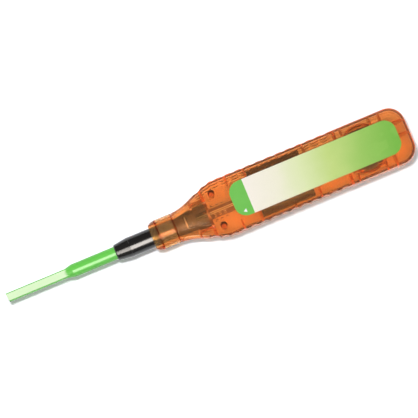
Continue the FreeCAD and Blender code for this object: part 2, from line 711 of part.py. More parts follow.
def rotor_case():
    stem_way = STEM_RADIUS + 2 * SLIDING
    body = turned([
        (CASE_JOINT_START, stem_way),
        (CASE_JOINT_START, CASE_JOINT_RADIUS),
        (NOZZLE_END, CASE_JOINT_RADIUS),
        (NOZZLE_END, NOZZLE_RADIUS),
        (CASE_BARREL_END, NOZZLE_RADIUS),
        (CASE_BARREL_END, CASE_FRONT_RADIUS - CASE_GROOVE_DEPTH),
        (CASE_CONE_START, CASE_FRONT_RADIUS - CASE_GROOVE_DEPTH),
        (CASE_CONE_START, CASE_FRONT_RADIUS),
        (CASE_END, CASE_REAR_RADIUS),
        (CASE_END, CASE_CHAMBER_RADIUS),
        (ROTOR_END + RUNNING, CASE_CHAMBER_RADIUS),
        (ROTOR_END + RUNNING, ROTOR_RADIUS + RUNNING),
        (ROTOR_START - RUNNING, ROTOR_RADIUS + RUNNING),
        (ROTOR_START - RUNNING, stem_way),
    ])
    peg_half = PEG_RADIUS + RUNNING
    slot_front = PEG_AT - STROKE
    peg_slot = box(slot_front, PEG_AT, -peg_half, peg_half, -LONG, 0)
    slot_ends = [rod_z(peg_half, -LONG, 0, slot_front), rod_z(peg_half, -LONG, 0, PEG_AT)]
    half = CASE_SLOT_WIDTH / 2
    top_slot = box(CASE_END - CASE_SLOT_LENGTH, CASE_END + 1, -half, half, 0, LONG)
    front = CASE_CONE_START + CLIP_FRONT
    rear = front + 2 * CLIP_LENGTH
    clip = rounded_plate(front, rear, CLIP_WIDTH / 2, CLIP_CORNER, 0, LONG)
    tongue_half = CLIP_WIDTH / 2 - CLIP_SLIT
    tongue_corner = CLIP_CORNER - CLIP_SLIT
    tongue = rounded_plate(front + CLIP_SLIT, rear + 1, tongue_half, tongue_corner, -1, LONG)
    clip_reach = box(front - 1, front + CLIP_LENGTH, -LONG, LONG, ROTOR_RADIUS / 2, LONG)
    clip_slit = clip.cut(tongue).common(clip_reach)
    return body.cut([peg_slot, top_slot, clip_slit] + slot_ends)


def rack_teeth(pitch_y):
    """Teeth that point at +Y, level with the gear when the pen is at rest."""
    pitch = math.pi * GEAR_MODULE
    lean = math.tan(math.radians(PRESSURE_ANGLE))
    half = pitch / 4 - RUNNING
    tip = half - GEAR_MODULE * GEAR_ADDENDUM * lean
    root = half + GEAR_MODULE * GEAR_DEDENDUM * lean
    count = int(STROKE / pitch) + 3
    teeth = []
    for index in range(count):
        x = GEAR_AT + pitch * (1 - index)
        y_root = pitch_y - GEAR_MODULE * GEAR_DEDENDUM
        y_tip = pitch_y + GEAR_MODULE * GEAR_ADDENDUM
        outline = [(x - root, y_root - 0.1), (x - root, y_root), (x - tip, y_tip), (x + tip, y_tip)]
        outline += [(x + root, y_root), (x + root, y_root - 0.1)]
        teeth.append(flat_shape(outline, TRAY_BOTTOM, TRAY_TOP))
    return teeth


def slide_tray():
    plate_end = CASE_END + TRAY_PLATE
    gear_reach = GEAR_RADIUS + GEAR_MODULE + 2 * SLIDING
    slot_front = GEAR_AT - STROKE - gear_reach - SLIDING
    slot_rear = GEAR_AT + gear_reach + SLIDING
    rack_root = -(GEAR_RADIUS + GEAR_MODULE * GEAR_DEDENDUM)
    frame_front = slot_front - 2 * TRAY_THICKNESS
    tab_rear = TRAY_TAB_AT + TRAY_TAB
    plug = rod_x(CASE_CHAMBER_RADIUS, CASE_END - TRAY_PLUG_LENGTH, CASE_END)
    plate = rod_x(CASE_REAR_RADIUS, CASE_END, plate_end)
    spine_half = TRAY_SPINE_HALF_WIDTH
    spine = box(CASE_END, frame_front + 1, -spine_half, spine_half, TRAY_BOTTOM, TRAY_TOP)
    frame = box(frame_front, tab_rear, -TRAY_HALF_WIDTH, TRAY_HALF_WIDTH, TRAY_BOTTOM, TRAY_TOP)
    frame = frame.cut(box(slot_front, slot_rear, rack_root, gear_reach, TRAY_BOTTOM - 1, TRAY_TOP + 1))
    tab = box(TRAY_TAB_AT, tab_rear, -TRAY_TAB_HALF_WIDTH, TRAY_TAB_HALF_WIDTH, TRAY_BOTTOM, TRAY_TAB_TOP)
    peg = rod_x(SPRING_PEG_RADIUS, tab_rear, tab_rear + SPRING_PEG_LENGTH, 0, SPRING_Z)
    thread_way = rod_x(THREAD_SPACING / 2 + 2 * THREAD_RADIUS, CASE_END - TRAY_PLUG_LENGTH - 1, plate_end + 1)
    tray = joined([plug, plate, spine, frame, tab, peg] + rack_teeth(-GEAR_RADIUS))
    half = CASE_SLOT_WIDTH / 2
    sight = box(CASE_END - TRAY_PLUG_LENGTH - 1, CASE_END, -half, half, 0, LONG)
    return tray.cut([thread_way, sight])


# ---- rotor, stem and cleaning head ----
def square_bar(side, x0, x1):
    return box(x0, x1, -side / 2, side / 2, -side / 2, side / 2)


def seat_radius():
    """The spring seat's radius, which stays inside the groove's floor."""
    return ROTOR_RADIUS - GROOVE_DEPTH - RUNNING


def rotor():
    """A barrel whose helical groove turns it half way round over one stroke."""
    barrel = rod_x(ROTOR_RADIUS, ROTOR_START, ROTOR_END)
    barrel = barrel.cut([
        rod_x(STEM_RADIUS + RUNNING, ROTOR_START - 1, SQUARE_START + 1),
        square_bar(ROTOR_SQUARE, SQUARE_START, SQUARE_END + 0.1),
        rod_x(seat_radius(), SQUARE_END, ROTOR_END + 1),
    ])
    for piece in helical_groove():
        barrel = barrel.cut(piece)
    return barrel


def helical_groove():
    """The peg's path in the rotor: half a turn of helix with a round end at each end."""
    width = PEG_RADIUS + RUNNING
    floor = ROTOR_RADIUS - GROOVE_DEPTH
    top = ROTOR_RADIUS + 1.0
    middle = (floor + top) / 2
    helix = Part.makeHelix(2 * STROKE, STROKE, middle)
    rise = math.atan2(STROKE, math.pi * middle)
    across = Vector(0, -math.sin(rise), math.cos(rise)) * width
    inner = Vector(floor, 0, 0)
    outer = Vector(top, 0, 0)
    corners = [inner - across, outer - across, outer + across, inner + across, inner - across]
    sweep = Part.Wire(helix).makePipeShell([Part.makePolygon(corners)], True, True)
    # the round ends are cut a little wider and deeper than the path between them
    end_width = width + GROOVE_END_RELIEF
    end_floor = floor - GROOVE_END_RELIEF
    start = Part.makeCylinder(end_width, top - end_floor, Vector(end_floor, 0, 0), Vector(1, 0, 0))
    finish = Part.makeCylinder(end_width, top - end_floor, Vector(-end_floor, 0, STROKE), Vector(-1, 0, 0))
    pieces = [sweep, start, finish]
    # the helix climbs along Z from +X: lay it along the pen with its rear end at the bottom
    for piece in pieces:
        piece.rotate(Vector(0, 0, 0), Vector(0, 1, 0), 90)
        piece.rotate(Vector(0, 0, 0), Vector(1, 0, 0), 180)
        piece.translate(Vector(PEG_AT - STROKE, 0, 0))
    return pieces


def groove_peg():
    return rod_z(PEG_RADIUS, peg_foot(), PEG_TIP, PEG_AT)


def stem_flange_start():
    return SQUARE_START + RUNNING


def stem_end():
    return stem_flange_start() + STEM_FLANGE_LENGTH + STEM_TAIL_LENGTH


def head_stem():
    start = stem_flange_start()
    tube = rod_x(STEM_RADIUS, STEM_FRONT, stem_end())
    key = square_bar(ROTOR_SQUARE - 2 * RUNNING, start, start + STEM_FLANGE_LENGTH)
    return joined([tube, key]).cut(rod_x(STEM_BORE_RADIUS, STEM_FRONT - 1, stem_end() + 1))


def cleaning_head():
    """A slim finger with a flat on each side for the thread, held in the stem's bore."""
    front = FERRULE_BORE_LENGTH + 2 * THREAD_RADIUS + RUNNING
    finger = rod_x(HEAD_RADIUS, front, STEM_FRONT)
    shank = rod_x(STEM_BORE_RADIUS, STEM_FRONT, STEM_FRONT + HEAD_SHANK)
    web = box(front - 1, STEM_FRONT + HEAD_SHANK + 1, -HEAD_WEB / 2, HEAD_WEB / 2, -LONG, LONG)
    return joined([finger, shank]).common(web)


def tip_thread():
    """The run of thread that lies over the head and back along the stem."""
    side = THREAD_SPACING / 2
    front = FERRULE_BORE_LENGTH + THREAD_RADIUS + RUNNING
    points = [
        Vector(stem_end(), -side, 0),
        Vector(front, -side, 0),
        Vector(front, side, 0),
        Vector(stem_end(), side, 0),
    ]
    return strand(points, THREAD_RADIUS)


def head_spring():
    start = stem_flange_start() + STEM_FLANGE_LENGTH
    radius = STEM_RADIUS + RUNNING + HEAD_SPRING_WIRE
    return coil(radius, HEAD_SPRING_WIRE, HEAD_SPRING_TURNS, start, SQUARE_END)


def spring_seat():
    disc = rod_x(seat_radius(), SQUARE_END, ROTOR_END)
    return disc.cut(rod_x(STEM_RADIUS + RUNNING, SQUARE_END - 1, ROTOR_END + 1))


def rotor_retainer():
    start = ROTOR_END + RUNNING
    disc = rod_x(CASE_CHAMBER_RADIUS, start, start + RETAINER_THICKNESS)
    return disc.cut(rod_x(RETAINER_HOLE_RADIUS, start - 1, start + 2))


# ---- gear, reels and what holds them ----
def drive_gear():
    pitch = 2 * math.pi / GEAR_TEETH
    lean = math.tan(math.radians(PRESSURE_ANGLE))
    half = math.pi * GEAR_MODULE / 4 - RUNNING
    root = GEAR_RADIUS - GEAR_DEDENDUM * GEAR_MODULE
    tip = GEAR_RADIUS + GEAR_ADDENDUM * GEAR_MODULE
    root_half = half + GEAR_ADDENDUM * GEAR_MODULE * lean
    tip_half = half - GEAR_DEDENDUM * GEAR_MODULE * lean
    bottom = TRAY_BOTTOM + RUNNING
    teeth = []
    for index in range(GEAR_TEETH):
        outline = [(root - 0.3, -root_half), (root, -root_half), (tip, -tip_half), (tip, tip_half)]
        outline += [(root, root_half), (root - 0.3, root_half)]
        tooth = flat_shape(outline, bottom, TRAY_TOP)
        # at rest a gap, not a tooth, faces the rack's tooth at -Y
        turn = math.degrees(pitch * (index + 0.5)) - 90.0
        tooth.rotate(Vector(0, 0, 0), Vector(0, 0, 1), turn)
        tooth.translate(Vector(GEAR_AT, 0, 0))
        teeth.append(tooth)
    disc = rod_z(root, bottom, TRAY_TOP, GEAR_AT)
    hub = rod_z(RATCHET_RADIUS - 2 * SWING, TRAY_TOP, REEL_BOTTOM - SLIDING, GEAR_AT)
    boss = rod_z(AXLE_RADIUS + PAWL_BOSS_WALL, TRAY_TOP, REEL_BOTTOM + RATCHET_DEPTH - SLIDING, GEAR_AT)
    gear = joined([disc, hub, boss] + teeth + pawls())
    return gear.cut(rod_z(AXLE_RADIUS + RUNNING, bottom - 1, 0, GEAR_AT))


def pawls():
    """Two springy arms that push the reel's ratchet one way."""
    z0 = REEL_BOTTOM + SLIDING
    z1 = REEL_BOTTOM + RATCHET_DEPTH - SLIDING
    root_start = GEAR_AT + AXLE_RADIUS + PAWL_BOSS_WALL / 2
    root_end = GEAR_AT + PAWL_REACH - RUNNING
    tip_start = GEAR_AT - PAWL_REACH - PAWL_TIP_STAND
    tip_end = GEAR_AT - PAWL_REACH + SWING
    arms = []
    for turn in (0, 180):
        arc = ring_z(PAWL_REACH, PAWL_REACH - PAWL_THICKNESS, z0, z1, GEAR_AT)
        arc = arc.cut(box(0, LONG, -LONG, 0, -LONG, LONG))
        root = box(root_start, root_end, 0, PAWL_ROOT_WIDTH, REEL_BOTTOM - SLIDING, z1)
        tip = box(tip_start, tip_end, 0, PAWL_TIP_WIDTH, z0, z1)
        for piece in (arc, root, tip):
            piece.rotate(Vector(GEAR_AT, 0, 0), Vector(0, 0, 1), turn)
            arms.append(piece)
    return arms


def reel(station, flange_radius, axle_radius):
    lower = rod_z(flange_radius, REEL_BOTTOM, REEL_BOTTOM + REEL_FLANGE, station)
    upper = rod_z(flange_radius, REEL_TOP - REEL_FLANGE, REEL_TOP, station)
    hub = rod_z(HUB_RADIUS, REEL_BOTTOM, REEL_TOP, station)
    body = joined([lower, upper, hub])
    bore = rod_z(axle_radius + RUNNING, REEL_BOTTOM - 1, REEL_TOP + 1, station)
    return body.cut([bore] + reel_holes(station, flange_radius))


def reel_holes(station, flange_radius):
    """Round lightening holes through both flanges."""
    middle = (HUB_RADIUS + flange_radius) / 2
    hole = (flange_radius - HUB_RADIUS) * REEL_HOLE_SHARE
    holes = []
    for index in range(REEL_HOLES):
        angle = 2 * math.pi * index / REEL_HOLES
        x = station + middle * math.cos(angle)
        y = middle * math.sin(angle)
        holes.append(rod_z(hole, REEL_TOP - 2 * REEL_FLANGE, REEL_TOP + 1, x, y))
        holes.append(rod_z(hole, REEL_BOTTOM - 1, REEL_BOTTOM + REEL_FLANGE, x, y))
    return holes


def takeup_reel():
    """The driven reel, with a ring of ratchet teeth under its hub."""
    top = REEL_BOTTOM + RATCHET_DEPTH
    inner = RATCHET_RADIUS - 0.4
    body = reel(GEAR_AT, TAKEUP_RADIUS, AXLE_RADIUS)
    body = body.cut(rod_z(RATCHET_RADIUS, REEL_BOTTOM - 1, top, GEAR_AT))
    teeth = []
    for index in range(RATCHET_TEETH):
        step = 360.0 / RATCHET_TEETH
        wide = math.radians(step * 0.55)
        outline = [
            (RATCHET_RADIUS + 0.2, 0),
            (inner, 0),
            (RATCHET_RADIUS * math.cos(wide), RATCHET_RADIUS * math.sin(wide)),
            ((RATCHET_RADIUS + 0.2) * math.cos(wide), (RATCHET_RADIUS + 0.2) * math.sin(wide)),
        ]
        tooth = flat_shape(outline, REEL_BOTTOM, top)
        tooth.rotate(Vector(0, 0, 0), Vector(0, 0, 1), step * (index + 0.4))
        tooth.translate(Vector(GEAR_AT, 0, 0))
        teeth.append(tooth)
    return joined([body] + teeth)


def thread_roll(station, radius):
    low = REEL_BOTTOM + REEL_FLANGE
    high = REEL_TOP - REEL_FLANGE
    return ring_z(radius, HUB_RADIUS, low, high, station)


def takeup_axle():
    return rod_z(AXLE_RADIUS, FLOOR - AXLE_EMBED, FRAME_CEILING + AXLE_EMBED, GEAR_AT)


def supply_axle():
    return rod_z(SUPPLY_AXLE_RADIUS, FLOOR - AXLE_EMBED, REEL_TOP + 2 * CLIP_RING_THICKNESS, SUPPLY_AT)


def brake_washer():
    top = SUPPLY_BOSS_TOP + BRAKE_THICKNESS
    return ring_z(BRAKE_RADIUS, SUPPLY_AXLE_RADIUS, SUPPLY_BOSS_TOP, top, SUPPLY_AT)


def axle_clip():
    """An open ring that snaps into the supply axle above the reel."""
    low = REEL_TOP + SLIDING
    ring = ring_z(CLIP_RING_RADIUS, SUPPLY_AXLE_RADIUS, low, low + CLIP_RING_THICKNESS, SUPPLY_AT)
    half = CLIP_RING_MOUTH / 2
    mouth = box(SUPPLY_AT, SUPPLY_AT + LONG, -half, half, -LONG, LONG)
    return ring.cut(mouth)


def guide_bar_places():
    reach = TAKEUP_RADIUS + GUIDE_BAR_FROM_REEL
    height = REEL_TOP + RUNNING
    return [(GEAR_AT - reach, height), (GEAR_AT + reach, height)]


def guide_bars():
    reach = FRAME_HALF_WIDTH - FRAME_SIDE / 2
    bars = []
    for x, z in guide_bar_places():
        bars.append(Part.makeCylinder(GUIDE_BAR_RADIUS, 2 * reach, Vector(x, -reach, z), Vector(0, 1, 0)))
    return Part.makeCompound(bars)


def thread_guide_pin():
    bottom = -THREAD_RADIUS * 4
    return rod_z(GUIDE_PIN_RADIUS, bottom, GUIDE_PIN_TOP, GUIDE_PIN_AT, GUIDE_PIN_Y)


def reel_frame():
    """The black bridge over the take-up reel, shaped like the inside of the handle."""
    block = handle_solid(CAVITY_START, WALL + SLIDING)
    half = FRAME_HALF_WIDTH
    block = block.common(box(FRAME_FRONT, FRAME_REAR, -half, half, -LONG, LONG))
    channel_half = half - FRAME_SIDE
    channel = box(FRAME_FRONT - 1, FRAME_REAR + 1, -channel_half, channel_half, -LONG, FRAME_CEILING)
    axle_hole = rod_z(AXLE_RADIUS, 0, FRAME_CEILING + AXLE_EMBED, GEAR_AT)
    return block.cut([channel, axle_hole] + guide_bars().Solids)


def return_spring():
    start = TRAY_TAB_AT + TRAY_TAB
    return coil(SPRING_RADIUS, SPRING_WIRE, SPRING_TURNS, start, SPRING_SEAT_FRONT, 0, SPRING_Z)


def cleaning_thread():
    """Both strands behind the stem: one to the take-up roll, one from the supply roll."""
    side = THREAD_SPACING / 2
    start = stem_end() + HEAD_TRAVEL + RUNNING
    bend = LABEL_START + 2.0
    front_bar, rear_bar = guide_bar_places()
    over = GUIDE_BAR_RADIUS + THREAD_RADIUS + RUNNING
    used = [
        Vector(start, -side, 0),
        Vector(bend, -side, 0),
        tangent_point(bend, -side, GEAR_AT, TAKEUP_ROLL_RADIUS, -1),
    ]
    fresh = [
        Vector(start, side, 0),
        Vector(bend, side, 0),
        Vector(front_bar[0], FRESH_THREAD_Y, front_bar[1] + over),
        Vector(rear_bar[0], FRESH_THREAD_Y, rear_bar[1] + over),
        Vector(GUIDE_PIN_AT, FRESH_THREAD_Y, 0),
        tangent_point(GUIDE_PIN_AT, FRESH_THREAD_Y, SUPPLY_AT, SUPPLY_ROLL_RADIUS, 1),
    ]
    return Part.makeCompound([strand(used, THREAD_RADIUS), strand(fresh, THREAD_RADIUS)])


def tangent_point(x, y, centre_x, roll_radius, side):
    """Where a thread from (x, y) first lies on a roll, on the roll's +Y (1) or -Y (-1) side."""
    radius = roll_radius + THREAD_RADIUS
    reach = math.hypot(centre_x - x, y)
    toward = math.atan2(y, x - centre_x)
    open_angle = math.acos(radius / reach)
    angle = toward - side * open_angle
    return Vector(centre_x + radius * math.cos(angle), radius * math.sin(angle), 0)


# ---- the whole pen ----
def put(shape):
    """Move a piece from the pen's axis to the object's frame, under the middle of its box."""
    placed = shape.copy()
    placed.translate(Vector(-TAIL_END / 2, 0, BODY_HALF_HEIGHT))
    return placed


def pen():
    shell, cavity = whole_shell()
    return {
        "upper_shell": upper_half(shell),
        "lower_shell": lower_half(shell, cavity),
        "nose_collar": nose_collar(),
        "front_label": front_label(),
        "reel_frame": reel_frame(),
        "takeup_axle": takeup_axle(),
        "supply_axle": supply_axle(),
        "brake_washer": brake_washer(),
        "axle_clip": axle_clip(),
        "guide_bars": guide_bars(),
        "thread_guide_pin": thread_guide_pin(),
        "groove_peg": groove_peg(),
        "return_spring": return_spring(),
        "cleaning_thread": cleaning_thread(),
        "guide_tube": guide_tube(),
        "nozzle": nozzle(),
        "rotor_case": rotor_case(),
        "rotor_retainer": rotor_retainer(),
        "slide_tray": slide_tray(),
        "rotor": rotor(),
        "spring_seat": spring_seat(),
        "head_spring": head_spring(),
        "head_stem": head_stem(),
        "cleaning_head": cleaning_head(),
        "tip_thread": tip_thread(),
        "drive_gear": drive_gear(),
        "takeup_reel": takeup_reel(),
        "takeup_roll": thread_roll(GEAR_AT, TAKEUP_ROLL_RADIUS),
        "supply_reel": reel(SUPPLY_AT, SUPPLY_RADIUS, SUPPLY_AXLE_RADIUS),
        "supply_roll": thread_roll(SUPPLY_AT, SUPPLY_ROLL_RADIUS),
    }


os.makedirs("parts", exist_ok=True)
for node, solid in pen().items():
    put(solid).exportStep("parts/" + node + ".step")
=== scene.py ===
"""Looks of the fibre connector cleaning pen: finishes, thread, springs, light and camera."""

import logging
import math
from dataclasses import dataclass, field
from enum import Enum

import bpy
from mathutils import Matrix, Vector


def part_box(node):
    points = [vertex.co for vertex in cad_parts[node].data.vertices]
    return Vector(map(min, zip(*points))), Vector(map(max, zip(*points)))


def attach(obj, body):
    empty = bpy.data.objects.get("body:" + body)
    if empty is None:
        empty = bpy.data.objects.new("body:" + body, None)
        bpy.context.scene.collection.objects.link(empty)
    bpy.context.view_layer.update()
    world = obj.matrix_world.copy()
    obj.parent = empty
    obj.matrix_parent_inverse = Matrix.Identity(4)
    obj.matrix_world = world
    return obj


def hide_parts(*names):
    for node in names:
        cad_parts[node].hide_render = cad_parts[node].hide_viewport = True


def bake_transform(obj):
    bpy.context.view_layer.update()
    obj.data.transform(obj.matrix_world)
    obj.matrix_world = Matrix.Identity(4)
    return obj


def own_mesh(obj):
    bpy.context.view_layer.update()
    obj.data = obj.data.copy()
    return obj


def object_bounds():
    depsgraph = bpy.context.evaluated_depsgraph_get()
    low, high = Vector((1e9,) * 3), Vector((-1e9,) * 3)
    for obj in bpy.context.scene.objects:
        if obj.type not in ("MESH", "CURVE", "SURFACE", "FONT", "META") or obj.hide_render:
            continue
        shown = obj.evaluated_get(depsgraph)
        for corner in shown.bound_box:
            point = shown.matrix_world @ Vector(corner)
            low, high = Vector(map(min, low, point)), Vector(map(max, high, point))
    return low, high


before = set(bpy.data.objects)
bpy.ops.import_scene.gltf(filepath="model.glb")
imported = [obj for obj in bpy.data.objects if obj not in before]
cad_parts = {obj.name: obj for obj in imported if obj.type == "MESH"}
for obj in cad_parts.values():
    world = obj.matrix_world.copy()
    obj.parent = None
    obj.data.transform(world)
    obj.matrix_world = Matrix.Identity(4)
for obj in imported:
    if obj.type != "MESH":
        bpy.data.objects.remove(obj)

LOG = logging.getLogger("cleaning_pen")
MM = 0.001
MICRON = 0.000001
CAD_BOX = [list(corner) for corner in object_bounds()]

Colour = tuple[float, float, float]
Socket = bpy.types.NodeSocket
Material = bpy.types.Material

# a noise keeps mostly within this range
NOISE_RANGE = (0.3, 0.7)
WHITE: Colour = (1.0, 1.0, 1.0)


class Body(Enum):
    """The bodies that added pieces ride on."""

    HOUSING = "housing"
    CARRIAGE = "carriage"
    ROTOR = "rotor_barrel"
    HEAD = "head"
    TAKEUP = "takeup"
    SUPPLY = "supply"


# ---------------------------------------------------------------- shader building blocks


def srgb(red: int, green: int, blue: int) -> Colour:
    """Turn an sRGB colour into a linear one.

    Args:
        red: Red, 0 to 255.
        green: Green, 0 to 255.
        blue: Blue, 0 to 255.

    Returns:
        The linear colour.
    """
    def linear(value: int) -> float:
        """One channel as a linear value."""
        share = value / 255.0
        return share / 12.92 if share <= 0.04045 else ((share + 0.055) / 1.055) ** 2.4

    return (linear(red), linear(green), linear(blue))


def rgba(colour: Colour) -> tuple[float, float, float, float]:
    """The colour with an alpha of 1."""
    return (*colour, 1.0)


@dataclass
class Graph:
    """A node tree with short calls to add and join nodes."""

    tree: bpy.types.NodeTree

    def node(self, kind: str, **settings: object) -> bpy.types.Node:
        """Add a node.

        Args:
            kind: The node's type.
            **settings: Properties to set on the node.

        Returns:
            The new node.
        """
        made = self.tree.nodes.new(kind)
        for name, value in settings.items():
            setattr(made, name, value)
        return made

    def link(self, source: bpy.types.NodeSocket, target: bpy.types.NodeSocket) -> None:
        """Join two sockets."""
        self.tree.links.new(source, target)

    def feed(self, socket: bpy.types.NodeSocket, value: object) -> None:
        """Give a socket a link or a plain value."""
        if isinstance(value, bpy.types.NodeSocket):
            self.link(value, socket)
        else:
            socket.default_value = value

    def math(
        self, operation: str, first: object, second: object = 0.0, third: object = 0.0
    ) -> Socket:
        """A Math node.

        Args:
            operation: The operation's name.
            first: First input, a socket or a number.
            second: Second input.
            third: Third input.

        Returns:
            The result socket.
        """
        made = self.node("ShaderNodeMath", operation=operation)
        for socket, value in zip(made.inputs, (first, second, third)):
            self.feed(socket, value)
        return made.outputs[0]

    def ramp_value(
        self, value: object, low: float, high: float, to_low: float, to_high: float
    ) -> Socket:
        """Map a value from one range to another, held at the ends.

        Args:
            value: What is mapped.
            low: Start of the first range.
            high: End of the first range.
            to_low: Result at low.
            to_high: Result at high.

        Returns:
            The mapped value.
        """
        made = self.node("ShaderNodeMapRange", clamp=True)
        names = ("Value", "From Min", "From Max", "To Min", "To Max")
        for name, given in zip(names, (value, low, high, to_low, to_high)):
            self.feed(made.inputs[name], given)
        return made.outputs["Result"]

    def smooth_step(self, value: object, low: float, high: float) -> Socket:
        """A soft step from 0 at low to 1 at high."""
        made = self.node("ShaderNodeMapRange", clamp=True, interpolation_type="SMOOTHSTEP")
        for name, given in (("Value", value), ("From Min", low), ("From Max", high)):
            self.feed(made.inputs[name], given)
        return made.outputs["Result"]

    def spread(self, value: Socket) -> Socket:
        """Stretch the range of a noise to 0 to 1."""
        return self.ramp_value(value, *NOISE_RANGE, 0.0, 1.0)

    def opposite(self, value: Socket) -> Socket:
        """One minus the value."""
        return self.math("SUBTRACT", 1.0, value)

    def mix(self, share: object, first: object, second: object) -> Socket:
        """Mix two colours.

        Args:
            share: How much of the second colour, 0 to 1.
            first: First colour or socket.
            second: Second colour or socket.

        Returns:
            The mixed colour.
        """
        made = self.node("ShaderNodeMix", data_type="RGBA")
        # the node has sockets for every kind of data: 6, 7 and output 2 are the colours
        self.feed(made.inputs[0], share)
        for socket, value in ((made.inputs[6], first), (made.inputs[7], second)):
            self.feed(socket, rgba(value) if isinstance(value, tuple) else value)
        return made.outputs[2]

    def noise(
        self, place: Socket, scale: object, detail: float = 3.0, rough: float = 0.5
    ) -> Socket:
        """A noise value over a place.

        Args:
            place: Where the noise is taken.
            scale: Its scale, a socket or a number.
            detail: How many finer layers it has.
            rough: Weight of the finer layers.

        Returns:
            The value, about 0 to 1.
        """
        made = self.node("ShaderNodeTexNoise")
        self.link(place, made.inputs["Vector"])
        self.feed(made.inputs["Scale"], scale)
        made.inputs["Detail"].default_value = detail
        made.inputs["Roughness"].default_value = rough
        return made.outputs["Fac"]

    def place(self) -> Socket:
        """The place on the piece, in its own coordinates."""
        return self.node("ShaderNodeTexCoord").outputs["Object"]

    def axes(self, vector: Socket) -> bpy.types.NodeOutputs:
        """The X, Y and Z of a vector."""
        split = self.node("ShaderNodeSeparateXYZ")
        self.link(vector, split.inputs[0])
        return split.outputs

    def stretched(self, place: Socket, scale: tuple[float, ...], turn: float = 0.0) -> Socket:
        """A place turned about Z and scaled, for a noise that is longer one way."""
        made = self.node("ShaderNodeMapping")
        self.link(place, made.inputs["Vector"])
        made.inputs["Rotation"].default_value = (0.0, 0.0, turn)
        made.inputs["Scale"].default_value = scale
        return made.outputs["Vector"]


def new_group(
    name: str, inputs: dict[str, float], outputs: tuple[str, ...]
) -> tuple[Graph, bpy.types.Node, bpy.types.Node]:
    """Start a shader node group whose sockets are all plain values.

    Args:
        name: The group's name.
        inputs: Input names and their default values.
        outputs: Output names.

    Returns:
        The graph, its input node and its output node.
    """
    tree = bpy.data.node_groups.new(name, "ShaderNodeTree")
    for label, value in inputs.items():
        socket = tree.interface.new_socket(label, in_out="INPUT", socket_type="NodeSocketFloat")
        socket.default_value = value
    for label in outputs:
        tree.interface.new_socket(label, in_out="OUTPUT", socket_type="NodeSocketFloat")
    graph = Graph(tree)
    return graph, graph.node("NodeGroupInput"), graph.node("NodeGroupOutput")


def moulded_skin_group() -> bpy.types.NodeTree:
    """Fine surface of a moulded plastic: slight tone drift, uneven gloss and a faint grain.

    Returns:
        The group, with outputs Tone, Gloss and Height.
    """
    graph, given, result = new_group(
        "moulded_skin",
        {"Grain Scale": 2500.0, "Grain Depth": 1.0, "Roughness": 0.3, "Unevenness": 0.15},
        ("Tone", "Gloss", "Height"),
    )
    place = graph.place()
    fine = graph.noise(place, given.outputs["Grain Scale"], detail=2.0)
    cloud = graph.noise(place, scale=60.0, detail=4.0, rough=0.6)
    smudge = graph.noise(place, scale=210.0, detail=3.0, rough=0.7)
    smudge_share = 0.6
    cloud_part = graph.math("MULTIPLY", cloud, 1.0 - smudge_share)
    both = graph.math("MULTIPLY_ADD", smudge, smudge_share, cloud_part)
    drift = graph.math("SUBTRACT", both, 0.5)
    uneven = given.outputs["Unevenness"]
    gloss = graph.math("MULTIPLY_ADD", drift, uneven, given.outputs["Roughness"])
    graph.link(cloud, result.inputs["Tone"])
    graph.link(gloss, result.inputs["Gloss"])
    graph.link(graph.math("MULTIPLY", fine, given.outputs["Grain Depth"]), result.inputs["Height"])
    return graph.tree


def scratch_group() -> bpy.types.NodeTree:
    """Fine handling marks: long thin lines that only change gloss and height.

    Returns:
        The group, with outputs Mask and Height.
    """
    graph, given, result = new_group(
        "handling_marks", {"Amount": 0.3, "Scale": 120.0}, ("Mask", "Height")
    )
    place = graph.stretched(graph.place(), (0.12, 3.0, 3.0), turn=0.35)
    lines = graph.noise(place, given.outputs["Scale"], detail=5.0)
    thin = graph.smooth_step(lines, low=0.66, high=0.72)
    mask = graph.math("MULTIPLY", thin, given.outputs["Amount"])
    graph.link(mask, result.inputs["Mask"])
    graph.link(graph.math("MULTIPLY", mask, -1.0), result.inputs["Height"])
    return graph.tree


def brushed_group() -> bpy.types.NodeTree:
    """Drawn or ground metal: fine rings and streaks in gloss and height.

    Returns:
        The group, with outputs Gloss, Tone and Height.
    """
    graph, given, result = new_group(
        "drawn_metal", {"Roughness": 0.25, "Streak": 0.2}, ("Gloss", "Tone", "Height")
    )
    place = graph.stretched(graph.place(), (1.0, 1.0, 0.15))
    streak = graph.noise(place, scale=4000.0, detail=3.0, rough=0.6)
    offset = graph.math("SUBTRACT", streak, 0.5)
    gloss = graph.math("MULTIPLY_ADD", offset, given.outputs["Streak"], given.outputs["Roughness"])
    graph.link(gloss, result.inputs["Gloss"])
    graph.link(streak, result.inputs["Tone"])
    graph.link(streak, result.inputs["Height"])
    return graph.tree


@dataclass
class Effects:
    """The shared node groups, built once."""

    skin: bpy.types.NodeTree = field(default_factory=moulded_skin_group)
    marks: bpy.types.NodeTree = field(default_factory=scratch_group)
    metal: bpy.types.NodeTree = field(default_factory=brushed_group)


def place_group(graph: Graph, tree: bpy.types.NodeTree, **values: float) -> bpy.types.Node:
    """Put a node group in a material.

    Args:
        graph: The material's graph.
        tree: The group.
        **values: Input values, with underscores for spaces.

    Returns:
        The group node.
    """
    made = graph.node("ShaderNodeGroup", node_tree=tree)
    for name, value in values.items():
        made.inputs[name.replace("_", " ")].default_value = value
    return made


def start_material(name: str) -> tuple[Material, Graph, bpy.types.Node, bpy.types.Node]:
    """An empty material with a Principled BSDF on its output.

    Args:
        name: The material's name.

    Returns:
        The material, its graph, the Principled node and the output node.
    """
    material = bpy.data.materials.new(name)
    material.use_nodes = True
    material.node_tree.nodes.clear()
    graph = Graph(material.node_tree)
    shader = graph.node("ShaderNodeBsdfPrincipled")
    output = graph.node("ShaderNodeOutputMaterial")
    graph.link(shader.outputs[0], output.inputs["Surface"])
    return material, graph, shader, output


